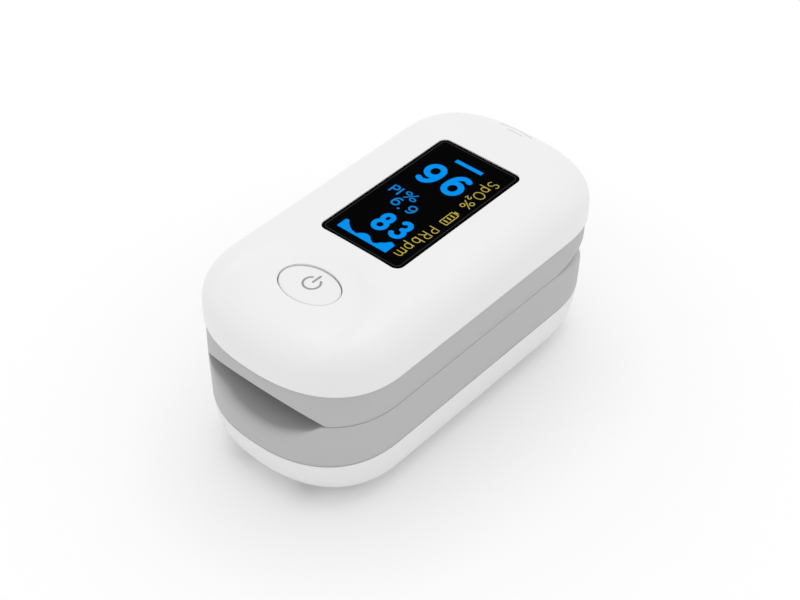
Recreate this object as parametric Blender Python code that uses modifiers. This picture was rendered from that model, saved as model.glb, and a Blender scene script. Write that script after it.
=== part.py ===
"""Fingertip pulse oximeter: a spring clip of two jaws with a display, a power button and a battery bay.

Metres, +Z up. Y runs along the finger with the finger mouth at -Y, X is the width, and the
underside of the battery door lies at z = 0. Lengths below are in millimetres and become metres
where each mesh is made.
"""

import math

import bmesh
import bpy
from mathutils import Matrix, Vector

MM = 0.001

# Plan outline: straight sides with superelliptic ends.
FRONT_POWER = 2.35
REAR_POWER = 2.7
QUADRANT_STEPS = 12
SIDE_STEPS = 4

# Seam between the jaws, and the gap to each side of it.
SEAM_Z = 17.8
SEAM_GAP = 0.1

# Heights of the stacked housings.
BELLY_TOP = 9.4
LOWER_BASE = 9.6
LOWER_TOP = SEAM_Z - SEAM_GAP
UPPER_BASE = SEAM_Z + SEAM_GAP
UPPER_TOP = 23.7
COVER_BASE = 23.8
COVER_WALL_TOP = 26.0
CREST = 32.04

# Bottom cover: (height, half width, half length) down the outside, then up the inside.
BELLY_SHORTFALL = 1.5
BELLY_OUTSIDE = ((BELLY_TOP, 15.95, 32.45), (6.0, 15.6, 32.05), (4.6, 15.35, 31.45), (3.5, 15.0, 30.65),
                 (2.4, 14.2, 29.25), (1.4, 13.1, 27.5), (0.6, 11.9, 25.9), (0.15, 10.9, 24.7),
                 (0.0, 10.0, 23.6))
BELLY_INSIDE = ((BELLY_TOP, 14.45, 30.95), (6.2, 14.1, 30.6), (5.0, 13.85, 30.1), (4.25, 13.45, 29.5),
                (3.4, 12.75, 28.6), (2.46, 11.64, 27.3), (1.9, 10.8, 26.4), (1.5, 9.4, 25.3))

# Grey housings: (height, half width, half length, end shortfall) at the base and at the top.
LOWER_SECTION = ((LOWER_BASE, 15.97, 32.5, 1.5), (LOWER_TOP, 16.35, 32.5, 2.05))
UPPER_SECTION = ((UPPER_BASE, 16.35, 32.5, 2.05), (UPPER_TOP, 16.65, 32.1, 3.0))
WALL = 1.6

# Top cover: width 34, soft shoulder, thin-walled.
COVER_HALF_WIDTH = 17.0
COVER_HALF_LENGTH = 32.3
COVER_SHORTFALL = 3.1
COVER_WALL = 1.6
SHOULDER_IN = 8.5
SHOULDER_RISE = 5.75
SHOULDER_BEND = 0.8
SHOULDER_STEPS = 7
TOP_RINGS = 4
CROWN = CREST - COVER_WALL_TOP - SHOULDER_RISE
COVER_BOSS_TOP = 28.6

# Thumb dish round the power button.
DISH_CENTRE_Y = -23.9
DISH_RADIUS = 12.2
DISH_EDGE = 2.6
DISH_DEPTH = 0.5

# Display window and power button.
WINDOW_HALF_WIDTH = 7.74
WINDOW_Y = (-9.45, 19.3)
WINDOW_TOP = 31.72
WINDOW_BASE = 29.2
FLANGE_TOP = 29.75
FLANGE_REACH = 1.1
WINDOW_CORNER = 1.3
WINDOW_GAP = 0.2
PANEL_HEIGHTS = (27.3, 28.8)
PANEL_MARGIN = 0.25
BUTTON_Y = -19.5
BUTTON_HALF_LONG = 5.14
BUTTON_HALF_SHORT = 3.64
BUTTON_GAP = 0.25
BUTTON_TOP = 31.2
BUTTON_FLANGE_TOP = 29.6
BUTTON_BASE = 29.0
BUTTON_STEM_END = 28.4

# Finger channel: two arcs that face each other across the seam.
CHANNEL_HALF_WIDTH = 11.0
CHANNEL_END_Y = 12.5
LOWER_ARC_RADIUS = 16.5
LOWER_ARC_Z = SEAM_Z + 12.2
UPPER_ARC_RADIUS = 16.22
UPPER_ARC_Z = SEAM_Z - 11.82
ARC_STEPS = 14
MOUTH_Y = -29.1
LIP_THICKNESS = 1.2
LIP_SLOPE = math.radians(50.0)
SCOOP_FLARE = ((-36.0, 5.0), (-33.6, 2.6), (-32.7, 1.7), (-31.9, 1.0), (-31.2, 0.5),
               (-30.4, 0.12), (-29.6, 0.0), (CHANNEL_END_Y, 0.0))
PAD_GAP = 0.2
PAD_THICKNESS = 0.8
PAD_ANGLE = math.radians(31.0)
PAD_Y = (-24.5, 12.0)

# Hinge and the squeeze gap behind it.
HINGE_Y = 17.2
HINGE_Z = SEAM_Z
PIN_RADIUS = 1.0
PIN_BORE = 1.05
PIN_HALF_LENGTH = 12.1
EAR_RADIUS = 1.9
LOWER_EAR_X = (10.2, 11.8)
UPPER_EAR_X = (8.2, 9.8)
WELL_HALF_WIDTH = 12.4
WELL_Y = (13.6, 27.5)
WELL_FLOOR = SEAM_Z - 3.8
WELL_CEILING = SEAM_Z + 4.1
GAP_START_Y = 17.25
GAP_SLOPE = math.radians(14.0)
REAR_DROP = ((GAP_START_Y, 0.05), (21.0, 0.3), (25.0, 0.8), (28.5, 1.5), (30.5, 2.3),
             (31.8, 3.3), (32.7, 4.8))

# Torsion springs.
COIL_RADIUS = 1.7
COIL_WIRE = 0.3
COIL_PITCH = 0.72
COIL_TURNS = 4
COIL_START_X = 3.3
SPRING_LEG_Y = 25.0

# Power cells, size AAA, and their contacts.
CELL_RADIUS = 5.25
CELL_LENGTH = 44.5
CELL_NUB = 0.9
CELL_NUB_RADIUS = 1.9
CELL_X = 5.45
CELL_Z = 6.95
CELL_CENTRE_Y = (0.05, -0.75)
BAY_FRONT_Y = -25.9
BAY_REAR_Y = 24.0
BAY_CEILING = 12.55
BAY_RIB_HALF_WIDTH = 9.8
BAY_RIB_BASE = 5.6
CONTACT_HEIGHTS = (5.0, 10.2)
CONTACT_THICKNESS = 0.3

# Battery door.
DOOR_HALF_WIDTH = 10.9
DOOR_FRONT_Y = -23.9
DOOR_GAP = 0.3
DOOR_TOP = 9.1
RAIL_Y = (-20.0, 12.5)
RAIL_INNER_X = 10.0
RAIL_HEIGHTS = (1.0, 3.9)
RAIL_LIP_HEIGHTS = (3.1, 3.7)
GROOVE_START_Y = 16.8
GROOVE_PITCH = 1.6
GROOVE_WIDTH = 0.7
GROOVE_DEPTH = 0.35
GROOVE_COUNT = 5

# Optics.
OPTIC_Y = -2.0
APERTURE = (5.0, 4.0)

# Electronics in the upper jaw.
BOARD_BASE = 25.2
BOARD_TOP = 26.2
BOARD_HALF_WIDTH = 10.8
BOARD_Y = (-25.0, 24.0)

# Screws: (x, y) of each, underside of the head, and length below the head.
UPPER_SCREWS = ((-13.3, -12.0), (13.3, -12.0), (-13.3, 10.0), (13.3, 10.0))
UPPER_SCREW_Z = 18.3
UPPER_SCREW_LENGTH = 7.6
LOWER_SCREWS = ((-6.0, -27.4), (6.0, -27.4))
LOWER_SCREW_Z = 2.7
LOWER_SCREW_LENGTH = 7.4
SCREW_HEAD_RADIUS = 1.5
SCREW_HEAD_HEIGHT = 1.1
SCREW_RADIUS = 0.8
SCREW_HOLE = 0.9
SCREW_RECESS = 1.65
SEAT_RADIUS = 2.2
SEAT_HEIGHTS = (2.9, 4.8)
BOSS_RADIUS = 1.6

# Flat cable that joins the jaws.
CABLE_Y = 20.6
CABLE_HALF_WIDTH = 2.0
CABLE_THICKNESS = 0.2

ROUND_STEPS = 24


# ---------------------------------------------------------------- scene and materials

def clear_scene():
    for obj in list(bpy.data.objects):
        bpy.data.objects.remove(obj, do_unlink=True)


def new_collection(name):
    collection = bpy.data.collections.new(name)
    bpy.context.scene.collection.children.link(collection)
    return collection


def make_material(name, colour, roughness, metallic=0.0):
    material = bpy.data.materials.new(name)
    material.use_nodes = True
    shader = material.node_tree.nodes["Principled BSDF"]
    shader.inputs["Base Color"].default_value = (*colour, 1.0)
    shader.inputs["Roughness"].default_value = roughness
    shader.inputs["Metallic"].default_value = metallic
    material.diffuse_color = (*colour, 1.0)
    material.roughness = roughness
    material.metallic = metallic
    return material


def finish_mesh(name, bm, smooth=False):
    bmesh.ops.recalc_face_normals(bm, faces=bm.faces)
    mesh = bpy.data.meshes.new(name)
    bm.to_mesh(mesh)
    bm.free()
    for polygon in mesh.polygons:
        polygon.use_smooth = smooth
    return mesh


class Builder:
    """Adds named solids and hidden cutters to their collections."""

    def __init__(self):
        self.parts = new_collection("fingertip_pulse_oximeter")
        self.cutters = new_collection("cutters")

    def solid(self, name, bm, material, origin=(0.0, 0.0, 0.0), smooth=False):
        offset = Vector(origin) * MM
        bmesh.ops.translate(bm, verts=bm.verts, vec=-offset)
        obj = bpy.data.objects.new(name, finish_mesh(name, bm, smooth))
        obj.location = offset
        obj.data.materials.append(material)
        self.parts.objects.link(obj)
        return obj

    def cut(self, target, name, bm, operation="DIFFERENCE"):
        tool = bpy.data.objects.new(f"{target.name}_{name}", finish_mesh(name, bm))
        tool.hide_render = True
        tool.display_type = "WIRE"
        self.cutters.objects.link(tool)
        modifier = target.modifiers.new(name, "BOOLEAN")
        modifier.operation = operation
        modifier.solver = "EXACT"
        modifier.object = tool

    def join(self, target, name, bm):
        self.cut(target, name, bm, "UNION")


# ---------------------------------------------------------------- shapes, all sized in millimetres

def box(low, high):
    bm = bmesh.new()
    size = [b - a for a, b in zip(low, high)]
    centre = [(a + b) / 2 for a, b in zip(low, high)]
    matrix = Matrix.Translation(Vector(centre) * MM) @ Matrix.Diagonal((*[s * MM for s in size], 1.0))
    bmesh.ops.create_cube(bm, size=1.0, matrix=matrix)
    return bm


def merged(shapes):
    """One mesh out of several that don't touch."""
    result = bmesh.new()
    for shape in shapes:
        mesh = bpy.data.meshes.new("shape")
        shape.to_mesh(mesh)
        shape.free()
        result.from_mesh(mesh)
        bpy.data.meshes.remove(mesh)
    return result


def mirrored_boxes(x_range, y_range, z_range):
    x0, x1 = x_range
    right = box((x0, y_range[0], z_range[0]), (x1, y_range[1], z_range[1]))
    left = box((-x1, y_range[0], z_range[0]), (-x0, y_range[1], z_range[1]))
    return merged([right, left])


def cylinder(radius, start, end, steps=ROUND_STEPS):
    """Round bar between two points."""
    a = Vector(start) * MM
    b = Vector(end) * MM
    turn = (b - a).to_track_quat("Z", "Y").to_matrix().to_4x4()
    bm = bmesh.new()
    bmesh.ops.create_cone(bm, cap_ends=True, segments=steps, radius1=radius * MM, radius2=radius * MM,
                          depth=(b - a).length, matrix=Matrix.Translation((a + b) / 2) @ turn)
    return bm


def loft(rings, closed_loop=False):
    """Skin through rings of equal point count, capped at both ends unless the rings form a loop."""
    bm = bmesh.new()
    levels = [[bm.verts.new(Vector(point) * MM) for point in ring] for ring in rings]
    pairs = list(zip(levels, levels[1:]))
    if closed_loop:
        pairs.append((levels[-1], levels[0]))
    for first, second in pairs:
        count = len(first)
        for i in range(count):
            j = (i + 1) % count
            bm.faces.new((first[i], first[j], second[j], second[i]))
    if not closed_loop:
        bm.faces.new(list(reversed(levels[0])))
        bm.faces.new(levels[-1])
    return bm


def end_cap(half_width, straight, end, power):
    """Quarter of the plan outline, from the tip of one end round to the straight side."""
    points = []
    for i in range(QUADRANT_STEPS + 1):
        angle = 0.5 * math.pi * i / QUADRANT_STEPS
        x = half_width * max(math.sin(angle), 0.0) ** (2.0 / power)
        points.append((x, straight + end * max(math.cos(angle), 0.0) ** (2.0 / power)))
    return points


def plan_points(half_width, half_length, shortfall, side_steps=SIDE_STEPS):
    """Plan outline of the housings: (x, y) points from the rear tip round the right side and back.

    Each end is a superelliptic cap, shorter than the half width by the shortfall.
    """
    end = half_width - shortfall
    straight = half_length - end
    sides = [(half_width, straight - 2.0 * straight * i / side_steps) for i in range(1, side_steps)]
    rear = end_cap(half_width, straight, end, REAR_POWER)
    front = end_cap(half_width, straight, end, FRONT_POWER)
    right = rear + sides + [(x, -y) for x, y in reversed(front)]
    return right + [(-x, y) for x, y in reversed(right[1:-1])]


def plan_ring(z, half_width, half_length, shortfall, side_steps=SIDE_STEPS):
    return [(x, y, z) for x, y in plan_points(half_width, half_length, shortfall, side_steps)]


def slab(sections, inset=0.0, side_steps=1):
    """Solid between plan outlines given as (z, half width, half length, end shortfall)."""
    return loft([plan_ring(z, w - inset, l - inset, s, side_steps) for z, w, l, s in sections])


def prism_x(points, half_length):
    """Bar along X from a (y, z) polygon."""
    return loft([[(x, y, z) for y, z in points] for x in (-half_length, half_length)])


def prism_z(points, base, top):
    return loft([[(x, y, z) for x, y in points] for z in (base, top)])


def rounded_rectangle(x_range, y_range, radius, steps=4):
    (x0, x1), (y0, y1) = x_range, y_range
    corners = ((x1 - radius, y1 - radius, 0), (x0 + radius, y1 - radius, 90),
               (x0 + radius, y0 + radius, 180), (x1 - radius, y0 + radius, 270))
    points = []
    for cx, cy, start in corners:
        for i in range(steps + 1):
            angle = math.radians(start + 90.0 * i / steps)
            points.append((cx + radius * math.cos(angle), cy + radius * math.sin(angle)))
    return points


def ellipse(half_x, half_y, centre_y, steps=40):
    turn = 2.0 * math.pi / steps
    return [(half_x * math.cos(i * turn), centre_y + half_y * math.sin(i * turn)) for i in range(steps)]


def aperture(base, top, clearance=0.0):
    """Rectangular light opening above or below the optics."""
    half_x = APERTURE[0] / 2 - clearance
    half_y = APERTURE[1] / 2 - clearance
    return box((-half_x, OPTIC_Y - half_y, base), (half_x, OPTIC_Y + half_y, top))


# ---------------------------------------------------------------- finger channel

def lower_channel_section(y, flare):
    """Cross-section of the space above the lower arc."""
    radius = LOWER_ARC_RADIUS + flare
    reach = math.sqrt(radius ** 2 - (LOWER_ARC_Z - LOWER_TOP) ** 2)
    limit = math.asin(reach / radius)
    points = []
    for i in range(ARC_STEPS + 1):
        angle = limit * (2.0 * i / ARC_STEPS - 1.0)
        points.append((radius * math.sin(angle), y, LOWER_ARC_Z - radius * math.cos(angle)))
    return points + [(reach, y, LOWER_TOP + 3.0), (-reach, y, LOWER_TOP + 3.0)]


def upper_channel_section(y):
    """Cross-section of the space below the upper arc."""
    limit = math.asin(CHANNEL_HALF_WIDTH / UPPER_ARC_RADIUS)
    points = []
    for i in range(ARC_STEPS + 1):
        angle = limit * (2.0 * i / ARC_STEPS - 1.0)
        points.append((UPPER_ARC_RADIUS * math.sin(angle), y,
                       UPPER_ARC_Z + UPPER_ARC_RADIUS * math.cos(angle)))
    reach = CHANNEL_HALF_WIDTH
    return points + [(reach, y, UPPER_BASE - 3.0), (-reach, y, UPPER_BASE - 3.0)]


def pad_section(y, centre_z, radius, direction):
    """Curved strip that lines a channel: direction is -1 below the centre and 1 above it."""
    points = []
    for r, order in ((radius - PAD_GAP, 1.0), (radius - PAD_GAP - PAD_THICKNESS, -1.0)):
        for i in range(ARC_STEPS + 1):
            angle = order * PAD_ANGLE * (2.0 * i / ARC_STEPS - 1.0)
            points.append((r * math.sin(angle), y, centre_z + direction * r * math.cos(angle)))
    return points


# ---------------------------------------------------------------- lower jaw

def bottom_cover_shape():
    outside = [plan_ring(z, w, l, BELLY_SHORTFALL, 1) for z, w, l in BELLY_OUTSIDE]
    inside = [plan_ring(z, w, l, BELLY_SHORTFALL, 1) for z, w, l in BELLY_INSIDE]
    return loft(list(reversed(inside)) + outside)


def add_bottom_cover(build, material):
    cover = build.solid("bottom_cover", bottom_cover_shape(), material)
    for i, (x, y) in enumerate(LOWER_SCREWS, 1):
        ledge = LOWER_SCREW_Z + SCREW_HEAD_HEIGHT + 0.1
        seat = cylinder(SEAT_RADIUS, (x, y, SEAT_HEIGHTS[0]), (x, y, SEAT_HEIGHTS[1]), 20)
        build.join(cover, f"screw_seat_{i}", seat)
        build.cut(cover, f"screw_recess_{i}", cylinder(SCREW_RECESS, (x, y, -1.0), (x, y, ledge), 20))
        hole = cylinder(SCREW_HOLE, (x, y, ledge - 0.9), (x, y, SEAT_HEIGHTS[1] + 1.0), 16)
        build.cut(cover, f"screw_hole_{i}", hole)
    reach = DOOR_HALF_WIDTH + DOOR_GAP
    build.cut(cover, "door_opening", box((-reach, DOOR_FRONT_Y - DOOR_GAP, -1.0), (reach, 40.0, 12.0)))


def add_battery_door(build, material):
    door = build.solid("battery_door", bottom_cover_shape(), material)
    keep = box((-DOOR_HALF_WIDTH, DOOR_FRONT_Y, -1.0), (DOOR_HALF_WIDTH, 40.0, DOOR_TOP))
    build.cut(door, "outline", keep, "INTERSECT")
    build.join(door, "rails", mirrored_boxes((RAIL_INNER_X, DOOR_HALF_WIDTH), RAIL_Y, RAIL_HEIGHTS))
    lips = mirrored_boxes((RAIL_INNER_X + 0.4, DOOR_HALF_WIDTH + 1.0), RAIL_Y, RAIL_LIP_HEIGHTS)
    build.join(door, "rail_lips", lips)
    starts = [GROOVE_START_Y + GROOVE_PITCH * i for i in range(GROOVE_COUNT)]
    grooves = [box((-6.0, y, -1.0), (6.0, y + GROOVE_WIDTH, GROOVE_DEPTH)) for y in starts]
    build.cut(door, "grip_grooves", merged(grooves))


def add_lower_shell(build, material):
    shell = build.solid("lower_shell", slab(LOWER_SECTION), material)
    bay = slab([(z, *LOWER_SECTION[0][1:]) for z in (LOWER_BASE - 1.0, BAY_CEILING)], WALL)
    build.cut(shell, "bay", bay)
    build.cut(shell, "side_pockets", mirrored_boxes((12.6, 14.5), (-20.0, 10.0), (12.0, LOWER_TOP - 1.4)))
    build.cut(shell, "channel", loft([lower_channel_section(y, f) for y, f in SCOOP_FLARE]))
    well = box((-WELL_HALF_WIDTH, WELL_Y[0], WELL_FLOOR), (WELL_HALF_WIDTH, WELL_Y[1], 30.0))
    build.cut(shell, "hinge_well", well)
    edge = [(y, SEAM_Z - drop) for y, drop in REAR_DROP]
    clear_z = SEAM_Z + 6.0
    rear = edge + [(36.0, edge[-1][1]), (36.0, clear_z), (GAP_START_Y, clear_z)]
    build.cut(shell, "rear_edge", prism_x(rear, 25.0))
    root = BAY_CEILING + 0.4
    reach = BAY_RIB_HALF_WIDTH
    ribs = [box((-reach, y, BAY_RIB_BASE), (reach, y + 0.8, root)) for y in (BAY_FRONT_Y - 0.8, BAY_REAR_Y)]
    build.join(shell, "bay_ribs", merged(ribs))
    foot = SEAT_HEIGHTS[1] + 0.2
    bosses = [cylinder(BOSS_RADIUS, (x, y, foot), (x, y, root), 20) for x, y in LOWER_SCREWS]
    build.join(shell, "bosses", merged(bosses))
    tip = LOWER_SCREW_Z + SCREW_HEAD_HEIGHT + LOWER_SCREW_LENGTH
    pilots = [cylinder(SCREW_HOLE, (x, y, foot - 1.0), (x, y, tip + 0.6), 16) for x, y in LOWER_SCREWS]
    build.cut(shell, "pilot_holes", merged(pilots))
    add_ears(build, shell, LOWER_EAR_X, WELL_FLOOR - 0.6)
    build.cut(shell, "light_opening", aperture(BAY_CEILING - 1.0, SEAM_Z - 2.0))
    build.cut(shell, "cable_slot", cable_slot(BAY_CEILING - 1.0, WELL_FLOOR + 1.0, 0.5))


def add_ears(build, shell, x_range, root_z):
    """Pair of hinge lugs that reach from a shell to the pivot, bored for the pin."""
    webs = mirrored_boxes(x_range, (HINGE_Y - EAR_RADIUS + 0.01, HINGE_Y + EAR_RADIUS - 0.01),
                          (min(root_z, HINGE_Z), max(root_z, HINGE_Z)))
    build.join(shell, "ear_webs", webs)
    eyes = [cylinder(EAR_RADIUS, (side * x_range[0], HINGE_Y, HINGE_Z), (side * x_range[1], HINGE_Y,
                                                                         HINGE_Z))
            for side in (-1, 1)]
    build.join(shell, "ear_eyes", merged(eyes))
    bores = [cylinder(PIN_BORE, (side * (x_range[0] - 0.3), HINGE_Y, HINGE_Z),
                      (side * (x_range[1] + 0.3), HINGE_Y, HINGE_Z)) for side in (-1, 1)]
    build.cut(shell, "pin_bores", merged(bores))


def cable_slot(base, top, margin):
    reach = CABLE_HALF_WIDTH + margin
    return box((-reach, CABLE_Y - margin - 0.2, base), (reach, CABLE_Y + margin + 0.2, top))


def add_finger_pad(build, name, material, centre_z, radius, direction, origin):
    sections = [pad_section(y, centre_z, radius, direction) for y in PAD_Y]
    pad = build.solid(name, loft(sections), material, origin)
    middle = centre_z + direction * radius
    build.cut(pad, "light_opening", aperture(middle - 3.0, middle + 3.0))


def add_detector(build, board_material, chip_material, clear_material):
    board = box((-2.9, -6.0, 11.75), (2.9, 21.6, 12.1))
    build.solid("detector_board", board, board_material)
    build.solid("photodiode", box((-2.0, OPTIC_Y - 1.5, 12.2), (2.0, OPTIC_Y + 1.5, 12.9)), chip_material)
    build.solid("detector_window", aperture(13.0, LOWER_ARC_Z - LOWER_ARC_RADIUS + 0.9, 0.2),
                clear_material)


def turned(build, name, profile, material, location, direction):
    """Body of revolution; profile is (radius, height) from the top down the outside."""
    mesh = bpy.data.meshes.new(name)
    points = [Vector((r, 0.0, z)) * MM for r, z in profile]
    mesh.from_pydata(points, [(i, i + 1) for i in range(len(points) - 1)], [])
    obj = bpy.data.objects.new(name, mesh)
    obj.location = Vector(location) * MM
    obj.rotation_euler = Vector(direction).to_track_quat("Z", "Y").to_euler()
    screw = obj.modifiers.new("turn", "SCREW")
    screw.axis = "Z"
    screw.steps = ROUND_STEPS
    screw.render_steps = ROUND_STEPS
    screw.use_merge_vertices = True
    screw.merge_threshold = 0.00001
    screw.use_smooth_shade = True
    mesh.materials.append(material)
    build.parts.objects.link(obj)
    return obj


def add_cells(build, material):
    half = CELL_LENGTH / 2
    rim = 0.4
    shoulder = half - CELL_NUB
    profile = ((0.0, half), (CELL_NUB_RADIUS - 0.1, half), (CELL_NUB_RADIUS, half - 0.15),
               (CELL_NUB_RADIUS, shoulder), (CELL_RADIUS - rim, shoulder), (CELL_RADIUS, shoulder - rim),
               (CELL_RADIUS, rim - half), (CELL_RADIUS - rim, -half), (0.0, -half))
    turned(build, "battery_left", profile, material, (-CELL_X, CELL_CENTRE_Y[0], CELL_Z), (0, 1, 0))
    turned(build, "battery_right", profile, material, (CELL_X, CELL_CENTRE_Y[1], CELL_Z), (0, -1, 0))


def add_contacts(build, material):
    """Spring for the flat end of one cell, plate for the stud of the other, and the bridge behind both."""
    base, top = CONTACT_HEIGHTS
    front = BAY_FRONT_Y + 0.2
    plate = build.solid("battery_plate_positive",
                        box((CELL_X - 3.2, front, base), (CELL_X + 3.2, front + CONTACT_THICKNESS, top)),
                        material)
    build.join(plate, "stud_pad", cylinder(2.0, (CELL_X, front + 0.1, CELL_Z), (CELL_X, front + 2.3,
                                                                                CELL_Z)))
    rear = BAY_REAR_Y - 0.5
    bridge = build.solid("battery_bridge",
                         box((-8.8, rear, base), (8.8, rear + CONTACT_THICKNESS, top)), material)
    build.join(bridge, "left_pad", cylinder(2.0, (-CELL_X, rear - 0.8, CELL_Z), (-CELL_X, rear + 0.1,
                                                                                 CELL_Z)))
    build.join(bridge, "right_pad", cylinder(3.0, (CELL_X, rear - 1.6, CELL_Z), (CELL_X, rear + 0.1,
                                                                                 CELL_Z)))
    turns = 4
    points = []
    for i in range(12 * turns + 1):
        share = i / (12 * turns)
        radius = 3.6 - 1.6 * share
        angle = 2.0 * math.pi * turns * share
        points.append((-CELL_X + radius * math.cos(angle), front + 0.3 + 2.7 * share,
                       CELL_Z + radius * math.sin(angle)))
    add_wire(build, "battery_spring_negative", points, 0.25, material)


def add_wire(build, name, points, radius, material):
    curve = bpy.data.curves.new(name, "CURVE")
    curve.dimensions = "3D"
    curve.bevel_depth = radius * MM
    curve.bevel_resolution = 1
    curve.use_fill_caps = True
    spline = curve.splines.new("POLY")
    spline.points.add(len(points) - 1)
    for target, point in zip(spline.points, points):
        target.co = (*[value * MM for value in point], 1.0)
    spline.use_smooth = True
    curve.materials.append(material)
    obj = bpy.data.objects.new(name, curve)
    build.parts.objects.link(obj)
    return obj


def add_torsion_springs(build, material):
    """Coils on the pin whose long legs spread the two rear ends and so close the mouth."""
    for name, side in (("torsion_spring_left", -1), ("torsion_spring_right", 1)):
        points = [(side * COIL_START_X, SPRING_LEG_Y, WELL_FLOOR + 0.5),
                  (side * COIL_START_X, HINGE_Y + 3.0, HINGE_Z - COIL_RADIUS - 0.3)]
        steps = 12 * COIL_TURNS - 6
        for i in range(steps + 1):
            angle = -0.5 * math.pi - 2.0 * math.pi * i / 12
            x = COIL_START_X + COIL_PITCH * i / 12
            points.append((side * x, HINGE_Y + COIL_RADIUS * math.cos(angle),
                           HINGE_Z + COIL_RADIUS * math.sin(angle)))
        last = side * (COIL_START_X + COIL_PITCH * steps / 12)
        points += [(last, HINGE_Y + 3.0, HINGE_Z + COIL_RADIUS + 0.3), (last, SPRING_LEG_Y,
                                                                        WELL_CEILING - 0.5)]
        add_wire(build, name, points, COIL_WIRE, material)


def add_screw(build, name, x, y, head_base, length, material):
    """Pan-head screw standing on its head, with a cross-shaped drive in the head."""
    top = head_base + SCREW_HEAD_HEIGHT
    shape = cylinder(SCREW_HEAD_RADIUS, (x, y, head_base), (x, y, top), 20)
    screw = build.solid(name, shape, material, smooth=False)
    build.join(screw, "shank", cylinder(SCREW_RADIUS, (x, y, top - 0.2), (x, y, top + length), 16))
    build.cut(screw, "drive_a", box((x - 0.9, y - 0.2, head_base - 0.5), (x + 0.9, y + 0.2,
                                                                          head_base + 0.5)))
    build.cut(screw, "drive_b", box((x - 0.2, y - 0.9, head_base - 0.5), (x + 0.2, y + 0.9,
                                                                          head_base + 0.5)))
    return screw


def add_flat_cable(build, material):
    """Flat cable through the hinge well, along the pivot, from the lower board to the upper one."""
    route = ((CABLE_Y, 12.4), (CABLE_Y, HINGE_Z - 2.8), (CABLE_Y - 0.5, HINGE_Z), (CABLE_Y, HINGE_Z + 3.2),
             (CABLE_Y, 23.9))
    half = CABLE_THICKNESS / 2
    points = [(y - half, z) for y, z in route] + [(y + half, z) for y, z in reversed(route)]
    build.solid("flat_cable", prism_x(points, CABLE_HALF_WIDTH), material)


# ---------------------------------------------------------------- upper jaw

PIVOT = (0.0, HINGE_Y, HINGE_Z)


def dish_depth(x, y):
    """How far the thumb dish lowers the top cover."""
    distance = math.hypot(x, y - DISH_CENTRE_Y)
    share = min(max((DISH_RADIUS - distance) / DISH_EDGE, 0.0), 1.0)
    return DISH_DEPTH * share * share * (3.0 - 2.0 * share)


def cover_rings(half_width, base, wall_top, rise, shoulder, dished):
    """Rings from the lower edge of the cover up its wall, over the shoulder and in to the middle."""
    inward = COVER_HALF_WIDTH - half_width
    half_length = COVER_HALF_LENGTH - inward
    rings = [plan_ring(z, half_width, half_length, COVER_SHORTFALL) for z in (base, wall_top)]
    for i in range(1, SHOULDER_STEPS + 1):
        angle = 0.5 * math.pi * i / SHOULDER_STEPS
        inset = shoulder * (1.0 - math.cos(angle) ** SHOULDER_BEND)
        rings.append(plan_ring(wall_top + rise * math.sin(angle) ** SHOULDER_BEND, half_width - inset,
                               half_length - inset,
                               COVER_SHORTFALL))
    edge = rings[-1]
    top = wall_top + rise
    for i in range(1, TOP_RINGS + 1):
        scale = 1.0 - 0.9 * i / TOP_RINGS
        rings.append([(x * scale, y * scale, top + CROWN * (1.0 - scale * scale)) for x, y, z in edge])
    if dished:
        rings[2:] = [[(x, y, z - dish_depth(x, y)) for x, y, z in ring] for ring in rings[2:]]
    return rings


def top_cover_shape():
    outside = cover_rings(COVER_HALF_WIDTH, COVER_BASE, COVER_WALL_TOP, SHOULDER_RISE, SHOULDER_IN, True)
    inside = cover_rings(COVER_HALF_WIDTH - COVER_WALL, COVER_BASE, COVER_WALL_TOP,
                         SHOULDER_RISE - COVER_WALL,
                         SHOULDER_IN - COVER_WALL, False)
    return loft(list(reversed(inside)) + outside)


def window_outline(margin):
    return rounded_rectangle((-WINDOW_HALF_WIDTH - margin, WINDOW_HALF_WIDTH + margin),
                             (WINDOW_Y[0] - margin, WINDOW_Y[1] + margin), WINDOW_CORNER + margin)


def add_top_cover(build, material):
    cover = build.solid("top_cover", top_cover_shape(), material, PIVOT)
    bosses = [cylinder(1.8, (x, y, COVER_BASE + 0.1), (x, y, COVER_BOSS_TOP), 20) for x, y in UPPER_SCREWS]
    build.join(cover, "bosses", merged(bosses))
    tip = UPPER_SCREW_Z + SCREW_HEAD_HEIGHT + UPPER_SCREW_LENGTH
    pilots = [cylinder(SCREW_HOLE, (x, y, COVER_BASE - 1.0), (x, y, tip + 0.6), 16) for x,
              y in UPPER_SCREWS]
    build.cut(cover, "pilot_holes", merged(pilots))
    build.cut(cover, "window_opening", prism_z(window_outline(WINDOW_GAP), 27.0, 34.0))
    hole = ellipse(BUTTON_HALF_LONG + BUTTON_GAP, BUTTON_HALF_SHORT + BUTTON_GAP, BUTTON_Y)
    build.cut(cover, "button_opening", prism_z(hole, 27.0, 34.0))


def add_display(build, window_material, panel_material):
    window = build.solid("display_window", prism_z(window_outline(0.0), WINDOW_BASE, WINDOW_TOP),
                         window_material, PIVOT)
    build.join(window, "flange", prism_z(window_outline(FLANGE_REACH), WINDOW_BASE, FLANGE_TOP))
    reach = WINDOW_HALF_WIDTH + PANEL_MARGIN
    panel = box((-reach, WINDOW_Y[0] - PANEL_MARGIN, PANEL_HEIGHTS[0]),
                (reach, WINDOW_Y[1] + PANEL_MARGIN, PANEL_HEIGHTS[1]))
    build.solid("display_panel", panel, panel_material, PIVOT)


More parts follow.
